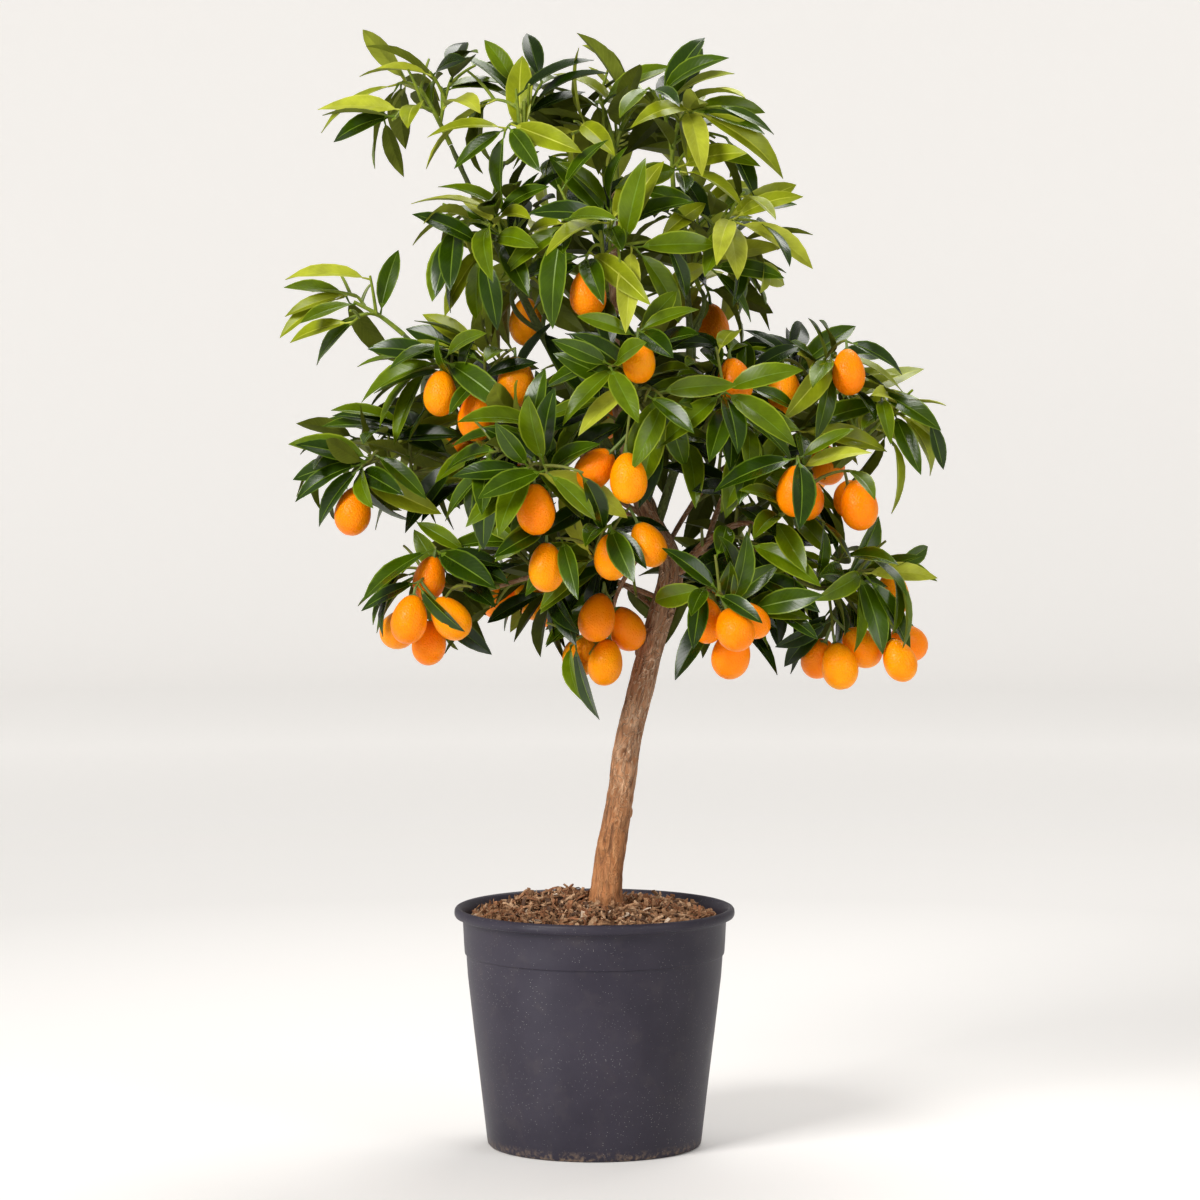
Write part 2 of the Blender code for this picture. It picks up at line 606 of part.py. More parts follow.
def fruit_shape(fruit):
    """An egg-shaped fruit whose uppermost ring is its stalk, drawn out to a point inside the twig."""
    shape = bmesh.new()
    bmesh.ops.create_uvsphere(shape, u_segments=FRUIT_SIDES, v_segments=FRUIT_RINGS, radius=1.0)
    turn = fruit.axis.to_track_quat("Z", "Y").to_matrix()
    for vert in shape.verts:
        polar = math.pi - math.acos(max(-1.0, min(1.0, vert.co.z)))
        around = math.atan2(vert.co.y, vert.co.x)
        ring = round(polar / math.pi * FRUIT_RINGS)
        down = math.pi * (ring - 1) / (FRUIT_RINGS - 1)
        height = fruit.stalk + fruit.length * (1 - math.cos(down)) / 2
        radius = max(STALK_RADIUS, fruit.width * math.sin(down) * (1 - FRUIT_EGG * math.cos(down)))
        if ring == 0:
            height = 0.0
        if ring in (0, FRUIT_RINGS):
            radius = 0.0
        place = Vector((radius * math.cos(around), radius * math.sin(around), height))
        vert.co = fruit.foot + turn @ place
    return shape


def leaf_places(twig, whorl, whorl_only):
    """Where leaves leave a twig: spaced along its outer part unless it has only a whorl, then close to its
    tip. Gives the point, the twig's direction there, and the leaf's angle round the twig."""
    length = limb_length(twig)
    count = 0 if whorl_only else int(length * (1 - BARE_SHARE) / LEAF_GAP)
    shares = [BARE_SHARE + (1 - BARE_SHARE) * index / (count + 1) for index in range(1, count + 1)]
    shares += [1.0 - WHORL_STEP * (index + 0.6) / length for index in range(whorl)]
    return [(*along_limb(twig, share)[:2], GOLDEN_ANGLE * index) for index, share in enumerate(shares)]


def leaf_traits(mass, draw, leaf_angle):
    """The size and form of one leaf, young or full grown."""
    young = draw.random() < mass.young
    away = draw.uniform(*leaf_angle)
    length = draw.uniform(*(YOUNG_LENGTH if young else MATURE_LENGTH))
    width = length * draw.uniform(*(YOUNG_WIDTH if young else MATURE_WIDTH))
    arch = draw.uniform(*(YOUNG_ARCH if young else MATURE_ARCH))
    return Traits(away, length, width, arch, draw.uniform(*LEAF_FOLD), draw.uniform(*LEAF_ROLL))


def aim_leaf(traits, foot, tangent, angle, scale):
    """A leaf that leaves its twig at an angle, with its upper face to the sky, the outside and the light."""
    low = min(1.0, max(0.0, (HANG_HEIGHT - foot.z) / HANG_RANGE))
    hang = Vector((0, 0, HANG_TOP + (HANG_LOW - HANG_TOP) * low))
    along = square_to(tangent, angle) * math.sin(traits.away) + tangent * math.cos(traits.away) - hang
    along.normalize()
    up = Vector((0, 0, 0.85 - 0.35 * low)) + outward(foot) * (0.4 + 0.35 * low) + tangent * 0.25
    up += WINDOW * min(1.0, max(0.0, 0.5 - foot.y / WINDOW_DEPTH))
    up -= along * up.dot(along)
    if up.length < 0.2:
        up = square_to(along, 0.0)
    up = Matrix.Rotation(traits.roll, 3, along) @ up.normalized()
    return Leaf(foot, along, up, traits.length * scale, traits.width * scale, traits.arch, traits.fold)


def leaf_point(leaf, share, side, lift):
    """A place on a leaf: share runs from its root to its tip along the arched rib, side from -1 to 1 across
    the folded blade, and lift is the height above the blade's middle."""
    turned = leaf.arch * share
    forward = leaf.along * (math.sin(turned) / leaf.arch) - leaf.up * ((1 - math.cos(turned)) / leaf.arch)
    normal = leaf.up * math.cos(turned) + leaf.along * math.sin(turned)
    across = leaf.along.cross(leaf.up) * side
    blade = across * math.cos(leaf.fold) + normal * (abs(side) * math.sin(leaf.fold))
    return leaf.foot + forward * leaf.length + blade * leaf.width + normal * lift


def leaf_shape(leaf):
    """An eight-faced leaf: a four-sided, two-ringed sphere drawn out along the rib and pressed flat."""
    shape = bmesh.new()
    bmesh.ops.create_uvsphere(shape, u_segments=4, v_segments=2, radius=1.0)
    for vert in shape.verts:
        side, lift, share = (round(part) for part in vert.co)
        vert.co = leaf_point(leaf, (1 + share) / 2, side, lift * LEAF_THICKNESS / 2)
    bmesh.ops.recalc_face_normals(shape, faces=shape.faces)
    return shape


def tree_of(shape):
    return BVHTree.FromBMesh(shape)


def has_room(shape, obstacles):
    """True if a shape touches none of the obstacles."""
    own = tree_of(shape)
    return not any(own.overlap(other) for other in obstacles)


def grow_wood_and_fruit(mass, stem, limbs, obstacles):
    """The twigs of one mass, each with its kind, and the shapes of its fruit. What has no room is skipped."""
    fruits = []
    fruit_shapes = []
    twigs = []
    for number, (hang, count) in enumerate(mass.fruit):
        twig = fruit_twig(stem, Vector(hang))
        twigs.append((twig, True))
        for fruit in cluster_fruit(mass, number, twig, count, fruits, limbs):
            shape = fruit_shape(fruit)
            if has_room(shape, obstacles):
                fruits.append(fruit)
                fruit_shapes.append(shape)
            else:
                shape.free()
    twigs += [(shoot, False) for shoot in leafy_shoots(mass, stem)]
    twig_shapes = [tube(twig, TWIG_SIDES) for twig, _ in twigs]
    clear = [has_room(shape, obstacles) for shape in twig_shapes]
    for shape, kept in zip(twig_shapes, clear):
        if not kept:
            shape.free()
    twigs = [twig for twig, kept in zip(twigs, clear) if kept]
    twig_shapes = [shape for shape, kept in zip(twig_shapes, clear) if kept]
    return twigs, twig_shapes, fruit_shapes


def grow_leaves(mass, twigs, twig_trees, obstacles):
    """The leaves of one mass. Each is turned until it has room inside the mass's space, or is skipped."""
    leaves = []
    standing = list(obstacles)
    for number, (twig, bears_fruit) in enumerate(twigs):
        draw = random.Random(f"{mass.name} leaves {number}")
        others = twig_trees[:number] + twig_trees[number + 1:]
        whorl = FRUIT_WHORL if bears_fruit else SHOOT_WHORL
        leaf_angle = WHORL_LEAF_ANGLE if bears_fruit else SHOOT_LEAF_ANGLE
        for foot, tangent, angle in leaf_places(twig, whorl, bears_fruit):
            traits = leaf_traits(mass, draw, leaf_angle)
            for turn, scale in LEAF_TRIES:
                shape = leaf_shape(aim_leaf(traits, foot, tangent, angle + turn, scale))
                if in_space(mass, [vert.co for vert in shape.verts]) and has_room(shape, standing + others):
                    standing.append(tree_of(shape))
                    leaves.append(shape)
                    break
                shape.free()
    return leaves


def islands(shape):
    """The connected pieces of a bmesh, as lists of faces."""
    left = set(shape.faces)
    found = []
    while left:
        stack = [left.pop()]
        piece = []
        while stack:
            face = stack.pop()
            piece.append(face)
            near = {other for edge in face.edges for other in edge.link_faces} & left
            left -= near
            stack.extend(near)
        found.append(piece)
    return found


def keep_one_body(mesh):
    """Drops loose scraps and the walls of hollows that fusing has sealed, so that one body is left. Gives
    the place of a fault in its surface, or None if it is closed."""
    shape = mesh_bmesh(mesh)
    bmesh.ops.triangulate(shape, faces=shape.faces)
    pieces = sorted(islands(shape), key=len)
    extra = [face for piece in pieces[:-1] for face in piece]
    bmesh.ops.delete(shape, geom=extra, context="FACES")
    faults = [edge.verts[0].co.copy() for edge in shape.edges if len(edge.link_faces) != 2]
    shape.to_mesh(mesh)
    shape.free()
    return faults[0] if faults else None


def fuse(name, stem_shape, wood_and_fruit, leaves, collection, material):
    """One Boolean union of the stem with all that grows on it. Where a touch leaves a fault in the surface,
    the leaf nearest to it is left out and the rest is fused again."""
    made = new_object(name, stem_shape, collection, material)
    pieces = bpy.data.collections.new(name + " pieces")
    bpy.context.scene.collection.children.link(pieces)
    for shape in wood_and_fruit:
        new_object("twig", shape, pieces)
    leaf_objects = [new_object("leaf", leaf, pieces) for leaf in leaves]
    union = made.modifiers.new("fuse", "BOOLEAN")
    union.operation = "UNION"
    union.operand_type = "COLLECTION"
    union.collection = pieces
    union.solver = "EXACT"
    mesh = evaluated_mesh(made)
    fault = keep_one_body(mesh)
    while fault and leaf_objects:
        gaps = [min((vert.co - fault).length for vert in leaf.data.vertices) for leaf in leaf_objects]
        bpy.data.objects.remove(leaf_objects.pop(gaps.index(min(gaps))))
        mesh = evaluated_mesh(made)
        fault = keep_one_body(mesh)
    made.modifiers.clear()
    made.data = mesh
    mesh.materials.clear()
    mesh.materials.append(material)
    for piece in list(pieces.objects):
        bpy.data.objects.remove(piece)
    bpy.data.collections.remove(pieces)
    return made


def make_masses(limbs, collection, material):
    """All masses of foliage, each grown clear of the limbs and of the masses before it."""
    obstacles = []
    for limb in limbs.values():
        swollen_limb = tube(swollen(limb, LIMB_GAP), limb_sides(limb))
        obstacles.append(tree_of(swollen_limb))
        swollen_limb.free()
    for mass in MASSES:
        stem = mass_stem(mass, limbs)
        twigs, twig_shapes, fruit_shapes = grow_wood_and_fruit(mass, stem, limbs, obstacles)
        standing = obstacles + [tree_of(shape) for shape in fruit_shapes]
        leaves = grow_leaves(mass, twigs, [tree_of(shape) for shape in twig_shapes], standing)
        stem_shape = tube(stem, STEM_SIDES)
        made = fuse(mass.name, stem_shape, twig_shapes + fruit_shapes, leaves, collection, material)
        fused = mesh_bmesh(made.data)
        obstacles.append(tree_of(fused))
        fused.free()


def build():
    for old in list(bpy.data.objects):
        bpy.data.objects.remove(old)
    tree = bpy.data.collections.new("kumquat tree")
    cutters = bpy.data.collections.new("cutters")
    bpy.context.scene.collection.children.link(tree)
    bpy.context.scene.collection.children.link(cutters)
    finish = {name: make_material(name) for name in COLOURS}
    make_pot(tree, finish["pot"])
    make_soil(tree, finish["soil"])
    limbs = grow_limbs()
    make_limbs(limbs, tree, cutters, finish["bark"])
    make_masses(limbs, tree, finish["foliage"])


build()
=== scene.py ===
# %% [markdown]
# # A kumquat tree in its pot
#
# This lesson dresses a plain model of a potted kumquat: a leaning trunk with wrinkled bark, a leafy crown,
# orange fruit, and a dusty nursery pot full of bark chips. The plain model is the frame. It gives every
# place and size, so nothing here is fitted by eye. Everything is in metres, +Z is up, and the front of the
# tree faces -Y.

# %% Load the frame and keep its box
import json
import math
import random
from collections import namedtuple

import bpy
import numpy as np
from mathutils import Matrix, Vector, noise
from mathutils.bvhtree import BVHTree

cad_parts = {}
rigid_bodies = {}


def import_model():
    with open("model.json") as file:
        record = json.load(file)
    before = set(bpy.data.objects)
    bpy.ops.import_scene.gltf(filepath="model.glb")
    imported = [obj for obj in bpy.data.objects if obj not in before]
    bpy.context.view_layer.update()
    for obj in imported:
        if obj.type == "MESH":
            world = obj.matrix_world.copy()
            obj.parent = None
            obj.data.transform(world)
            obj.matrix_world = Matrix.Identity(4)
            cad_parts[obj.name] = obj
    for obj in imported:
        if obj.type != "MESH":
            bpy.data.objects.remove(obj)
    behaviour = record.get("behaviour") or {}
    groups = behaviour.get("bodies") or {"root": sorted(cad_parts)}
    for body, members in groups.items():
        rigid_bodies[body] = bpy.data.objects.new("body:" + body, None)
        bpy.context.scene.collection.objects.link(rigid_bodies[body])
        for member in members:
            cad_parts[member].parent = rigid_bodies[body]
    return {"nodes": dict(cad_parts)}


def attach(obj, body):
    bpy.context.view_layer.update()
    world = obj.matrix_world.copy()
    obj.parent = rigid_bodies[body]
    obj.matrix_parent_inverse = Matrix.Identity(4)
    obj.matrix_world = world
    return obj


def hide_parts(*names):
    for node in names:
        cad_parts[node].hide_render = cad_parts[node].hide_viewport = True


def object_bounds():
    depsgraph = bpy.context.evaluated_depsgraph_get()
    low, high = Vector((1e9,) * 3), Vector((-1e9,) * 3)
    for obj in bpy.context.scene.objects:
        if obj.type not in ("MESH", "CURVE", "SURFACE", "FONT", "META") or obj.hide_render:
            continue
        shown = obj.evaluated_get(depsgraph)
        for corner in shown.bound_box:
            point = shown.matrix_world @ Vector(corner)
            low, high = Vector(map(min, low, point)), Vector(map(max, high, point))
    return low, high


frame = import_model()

frame_box = [list(corner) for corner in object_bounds()]
print("nodes in the frame:", len(frame["nodes"]), "box:", frame_box)

# %% [markdown]
# ## Camera, floor and light
#
# A long lens from a little above the pot's rim gives a catalogue view: the rim is a thin ellipse, and the
# crown hardly converges. The floor sweeps up into a round wall, as studio paper does, so that no horizon
# shows from any side. It is a disc whose rim is extruded up in edit mode, with a bevel that rounds the fold.

# %% Camera
EYE = Vector((0.0047, -4.25, 0.782))
AIM = Vector((0.0047, 0.0, 0.468))
lens = bpy.data.cameras.new("front view")
lens.lens = 150.0
lens.sensor_width = 36.0
lens.clip_end = 50.0
camera = bpy.data.objects.new("front view", lens)
camera.location = EYE
camera.rotation_euler = (AIM - EYE).to_track_quat("-Z", "Y").to_euler()
bpy.context.scene.collection.objects.link(camera)
bpy.context.scene.camera = camera
print("camera at", tuple(EYE), "lens", lens.lens, "mm")


# %% Helpers for choosing what an operator acts on
def select_only(made):
    """Selects one object and makes it the active one."""
    bpy.ops.object.select_all(action="DESELECT")
    made.select_set(True)
    bpy.context.view_layer.objects.active = made


def add_primitive(name, operator, **values):
    """Adds one primitive, at the origin unless values say otherwise, with nothing else selected."""
    bpy.ops.object.select_all(action="DESELECT")
    operator(**{"location": (0, 0, 0), **values})
    made = bpy.context.view_layer.objects.active
    made.name = name
    made.data.name = name
    return made


def pick(made, mode, wanted):
    """Selects only those vertices, edges or faces of an object in edit mode for which wanted is true."""
    bpy.ops.object.mode_set(mode="EDIT")
    bpy.ops.mesh.select_mode(type=mode)
    bpy.ops.mesh.select_all(action="DESELECT")
    bpy.ops.object.mode_set(mode="OBJECT")
    items = {"VERT": made.data.vertices, "EDGE": made.data.edges, "FACE": made.data.polygons}[mode]
    for item in items:
        item.select = bool(wanted(item))
    bpy.ops.object.mode_set(mode="EDIT")


def done():
    """Leaves edit mode with nothing selected."""
    bpy.ops.object.mode_set(mode="OBJECT")
    bpy.ops.object.select_all(action="DESELECT")


def apply_modifier(made, kind, **settings):
    """Adds one modifier, sets it, and applies it to the mesh."""
    select_only(made)
    modifier = made.modifiers.new(kind.lower(), kind)
    for key, value in settings.items():
        setattr(modifier, key, value)
    bpy.ops.object.modifier_apply(modifier=modifier.name)
    made.select_set(False)


# %% Floor that sweeps up into a round wall
FLOOR_RADIUS = 5.2
WALL_HEIGHT = 2.0
FOLD_RADIUS = 0.8

floor = add_primitive("floor", bpy.ops.mesh.primitive_circle_add, vertices=96, radius=FLOOR_RADIUS,
                      fill_type="NGON")
pick(floor, "EDGE", lambda edge: True)
bpy.ops.mesh.extrude_edges_move(TRANSFORM_OT_translate={"value": (0, 0, WALL_HEIGHT)})
pick(floor, "EDGE", lambda edge: all(floor.data.vertices[v].co.z < 0.1 for v in edge.vertices))
bpy.ops.mesh.bevel(offset=FOLD_RADIUS, segments=14, affect="EDGES")
done()
for face in floor.data.polygons:
    face.use_smooth = len(face.vertices) == 4
print("floor faces:", len(floor.data.polygons))

# %% [markdown]
# The light is that of a large soft window on the upper left, with a weaker one on the right and a light
# from above and behind that puts a bright edge on the top leaves. A narrow one, low on the left, draws a
# soft sheen down the pot. A pale world fills the shadows.

# %% Lights and world
WARM_WHITE = (1.0, 0.985, 0.96)
CROWN_FOOT = (0.0, 0.0, 0.5)


def add_lamp(name, kind, place, target, power, colour, **settings):
    """A lamp at one place, aimed at another."""
    lamp = bpy.data.lights.new(name, kind)
    lamp.energy = power
    lamp.color = colour
    for key, value in settings.items():
        setattr(lamp, key, value)
    light = bpy.data.objects.new(name, lamp)
    light.location = place
    light.rotation_euler = (Vector(target) - Vector(place)).to_track_quat("-Z", "Y").to_euler()
    bpy.context.scene.collection.objects.link(light)


add_lamp("window", "AREA", (-1.9, -2.2, 2.3), CROWN_FOOT, 112.0, WARM_WHITE, size=1.3)
add_lamp("fill", "AREA", (2.2, -2.0, 1.3), CROWN_FOOT, 24.0, (0.97, 0.98, 1.0), size=1.4)
add_lamp("top", "AREA", (0.5, 1.1, 2.6), CROWN_FOOT, 44.0, WARM_WHITE, size=1.4)
add_lamp("pot sheen", "SPOT", (-2.05, -1.75, 0.09), (0.0, 0.0, 0.095), 380.0, (0.95, 0.96, 1.0),
         shadow_soft_size=0.2, spot_size=math.radians(6.4), spot_blend=0.5)

world = bpy.data.worlds.new("studio")
world.use_nodes = True
sky = world.node_tree.nodes["Background"]
sky.inputs["Color"].default_value = (1.0, 0.985, 0.965, 1.0)
sky.inputs["Strength"].default_value = 0.30
bpy.context.scene.world = world
bpy.context.scene.view_settings.view_transform = "Standard"
bpy.context.scene.view_settings.look = "None"
print("lights:", [lamp.name for lamp in bpy.data.lights])

# %% [markdown]
# ## Shared surface effects
#
# Leaves, bark, peel, plastic and soil all vary in a few common ways: broad mottling, fine pits, and dust
# that lies in specks. Each is a shader node group, built once and placed in every finish that needs it
# with that finish's own values. A group reads the position in the object, so a pattern keeps its real size.


# %% A small helper for node trees
def add_node(tree, kind, values=None, **settings):
    """A node with its plain settings and input values set, and its inputs that are sockets linked."""
    node = tree.nodes.new(kind)
    for key, value in settings.items():
        setattr(node, key, value)
    for key, value in (values or {}).items():
        if isinstance(value, bpy.types.NodeSocket):
            tree.links.new(value, node.inputs[key])
        else:
            node.inputs[key].default_value = value
    return node


def maths(tree, operation, first, second=0.0):
    """One sum on two values, each a constant or one that varies over the surface."""
    return add_node(tree, "ShaderNodeMath", {0: first, 1: second}, operation=operation).outputs[0]


def ramp(tree, value, low, high, to_low=0.0, to_high=1.0):
    """A value spread out from its own limits to others, and held there."""
    limits = {"Value": value, "From Min": low, "From Max": high, "To Min": to_low, "To Max": to_high}
    return add_node(tree, "ShaderNodeMapRange", limits).outputs[0]


def place_in(tree):
    """The position in the object, in metres."""
    return add_node(tree, "ShaderNodeTexCoord").outputs["Object"]


def height_in(tree):
    return add_node(tree, "ShaderNodeSeparateXYZ", {0: place_in(tree)}).outputs["Z"]


def new_group(name, inputs):
    """An empty shader group with float inputs, and those inputs as its nodes see them."""
    group = bpy.data.node_groups.new(name, "ShaderNodeTree")
    for key, value in inputs.items():
        socket = group.interface.new_socket(key, in_out="INPUT", socket_type="NodeSocketFloat")
        socket.default_value = value
    return group, group.nodes.new("NodeGroupInput").outputs


def give_value(group, value):
    """Makes a value the one output of a group."""
    group.interface.new_socket("Value", in_out="OUTPUT", socket_type="NodeSocketFloat")
    group.links.new(value, group.nodes.new("NodeGroupOutput").inputs["Value"])


def place_group(tree, group, **values):
    """A shared effect placed in a finish, with that finish's own values."""
    node = tree.nodes.new("ShaderNodeGroup")
    node.node_tree = group
    for key, value in values.items():
        node.inputs[key].default_value = value
    return node.outputs["Value"]


def mix_colour(tree, factor, first, second):
    """A colour between two, by a factor that varies over the surface."""
    node = add_node(tree, "ShaderNodeMix", data_type="RGBA")
    tree.links.new(factor, node.inputs[0])
    for socket, value in ((node.inputs[6], first), (node.inputs[7], second)):
        if isinstance(value, bpy.types.NodeSocket):
            tree.links.new(value, socket)
        else:
            socket.default_value = (*value, 1.0)
    return node.outputs[2]


# %% Mottle: soft patches, from 0 to 1
mottle, ins = new_group("mottle", {"Scale": 20.0, "Detail": 3.0, "Low": 0.35, "High": 0.65})
clouds = add_node(mottle, "ShaderNodeTexNoise", {"Vector": place_in(mottle), "Scale": ins["Scale"],
                                                 "Detail": ins["Detail"], "Roughness": 0.55})
give_value(mottle, ramp(mottle, clouds.outputs[0], ins["Low"], ins["High"]))

# %% Pits: small round dimples, 0 at the middle of each
pits, ins = new_group("pits", {"Scale": 800.0, "Edge": 0.45})
cells = add_node(pits, "ShaderNodeTexVoronoi", {"Vector": place_in(pits), "Scale": ins["Scale"]})
give_value(pits, ramp(pits, cells.outputs["Distance"], 0.05, ins["Edge"]))

# %% Dust: sparse specks of many sizes, 1 where a speck lies
dust, ins = new_group("dust", {"Scale": 300.0, "Amount": 0.10})
cells = add_node(dust, "ShaderNodeTexVoronoi", {"Vector": place_in(dust), "Scale": ins["Scale"]})
patches = add_node(dust, "ShaderNodeTexNoise", {"Vector": place_in(dust), "Scale": 18.0, "Detail": 4.0})
limit = maths(dust, "MULTIPLY", patches.outputs[0], ins["Amount"])
give_value(dust, maths(dust, "GREATER_THAN", limit, cells.outputs["Distance"]))
print("shared effects:", [group.name for group in (mottle, pits, dust)])


# %% Helpers for finishes
def new_finish(name, colour, roughness, **constants):
    """A material with its shader, whose constant values are set on the shader's own sockets."""
    material = bpy.data.materials.new(name)
    material.use_nodes = True
    tree = material.node_tree
    shader = tree.nodes["Principled BSDF"]
    shader.inputs["Base Color"].default_value = (*colour, 1.0)
    shader.inputs["Roughness"].default_value = roughness
    for key, value in constants.items():
        shader.inputs[key.replace("_", " ")].default_value = value
    material.diffuse_color = (*colour, 1.0)
    return material, tree, shader


def patchy_finish(name, colour, other, roughness, patches, **constants):
    """A finish whose colour turns into another in soft patches."""
    material, tree, shader = new_finish(name, colour, roughness, **constants)
    varied = mix_colour(tree, place_group(tree, mottle, **patches), colour, other)
    tree.links.new(varied, shader.inputs["Base Color"])
    return material, tree, shader


def bump_from(tree, shader, height, strength, distance):
    """Lets a height that varies over the surface tilt the shader's normal."""
    bump = add_node(tree, "ShaderNodeBump", {"Height": height, "Strength": strength, "Distance": distance})
    tree.links.new(bump.outputs[0], shader.inputs["Normal"])


# %% Studio paper: it glows a little far out, for the camera only, so that the wall is as pale as the floor
PAPER_GLOW = (0.37, 0.36, 0.345)
GLOW_START, GLOW_FULL = 1.6, 3.4

paper, tree, shader = new_finish("studio paper", (0.865, 0.850, 0.835), 0.9, Emission_Strength=1.0)
away = add_node(tree, "ShaderNodeVectorMath", {0: place_in(tree)}, operation="LENGTH").outputs["Value"]
seen = add_node(tree, "ShaderNodeLightPath").outputs["Is Camera Ray"]
share = maths(tree, "MULTIPLY", ramp(tree, away, GLOW_START, GLOW_FULL), seen)
glow = mix_colour(tree, share, (0.0, 0.0, 0.0), PAPER_GLOW)
tree.links.new(glow, shader.inputs["Emission Color"])
paper.cycles.emission_sampling = "NONE"
floor.data.materials.append(paper)


# %% [markdown]
# ## How the tree grows
#
# A real crown could be placed leaf by leaf, but nobody could change it afterwards. Here it grows by rule:
# named masses of foliage say where the crown reaches, each mass has one bough, and inside a mass a stem
# carries shoots, the shoots carry leaves, and short twigs carry the fruit. The tables are the same as the
# frame's, so everything lands on the frame's own limbs, and the leaves are then carried to finer twigs.

# %% Sizes of the limbs and twigs
SEAT = 0.0003
TRUNK = (
    (0.010, 0.000, 0.2028, 0.0195),
    (0.010, 0.000, 0.2070, 0.0165),
    (0.011, 0.000, 0.2200, 0.0141),
    (0.015, 0.000, 0.2620, 0.0130),
    (0.022, 0.000, 0.3060, 0.0118),
    (0.033, 0.000, 0.3640, 0.0113),
    (0.052, 0.000, 0.4400, 0.0112),
    (0.063, 0.000, 0.4800, 0.0114),
    (0.062, 0.000, 0.5060, 0.0104),
    (0.044, 0.002, 0.5450, 0.0090),
    (0.028, 0.004, 0.5950, 0.0074),
    (0.018, 0.005, 0.6600, 0.0056),
    (0.016, 0.005, 0.7300, 0.0043),
    (0.018, 0.005, 0.8180, 0.0030),
)
BOUGH_STEPS = 4
BOUGH_RADIUS = 0.0024
BOUGH_TIP_RADIUS = 0.0019
ENTRY_SHARE = 0.55
STEM_STEPS = 2
STEM_STRAIGHT = 0.004
STEM_OVERRUN = 0.25
TWIG_STEPS = 6
TWIG_RADIUS = 0.0014
TWIG_TIP_RADIUS = 0.0009
TWIG_LIFT = 0.014
SHOOT_REACH = 0.42
SHOOT_SPREAD = 1.35
SHOOT_UPWARD = 0.55
SHOOT_FOOT = (0.25, 0.95)
FRUIT_TWIG_FEET = (0.3, 0.45, 0.6, 0.75, 0.9)
CELL_OVERLAP = 0.028
GOLDEN_ANGLE = math.pi * (3 - math.sqrt(5))
CROWN_AXIS_X = 0.03

Limb = namedtuple("Limb", "name points radii")
Fruit = namedtuple("Fruit", "foot axis stalk length width")
Traits = namedtuple("Traits", "away length width arch fold roll young")
Leaf = namedtuple("Leaf", "foot along up length width arch fold young")
Mass = namedtuple("Mass", "name parent share via centre reach shoots young fruit")

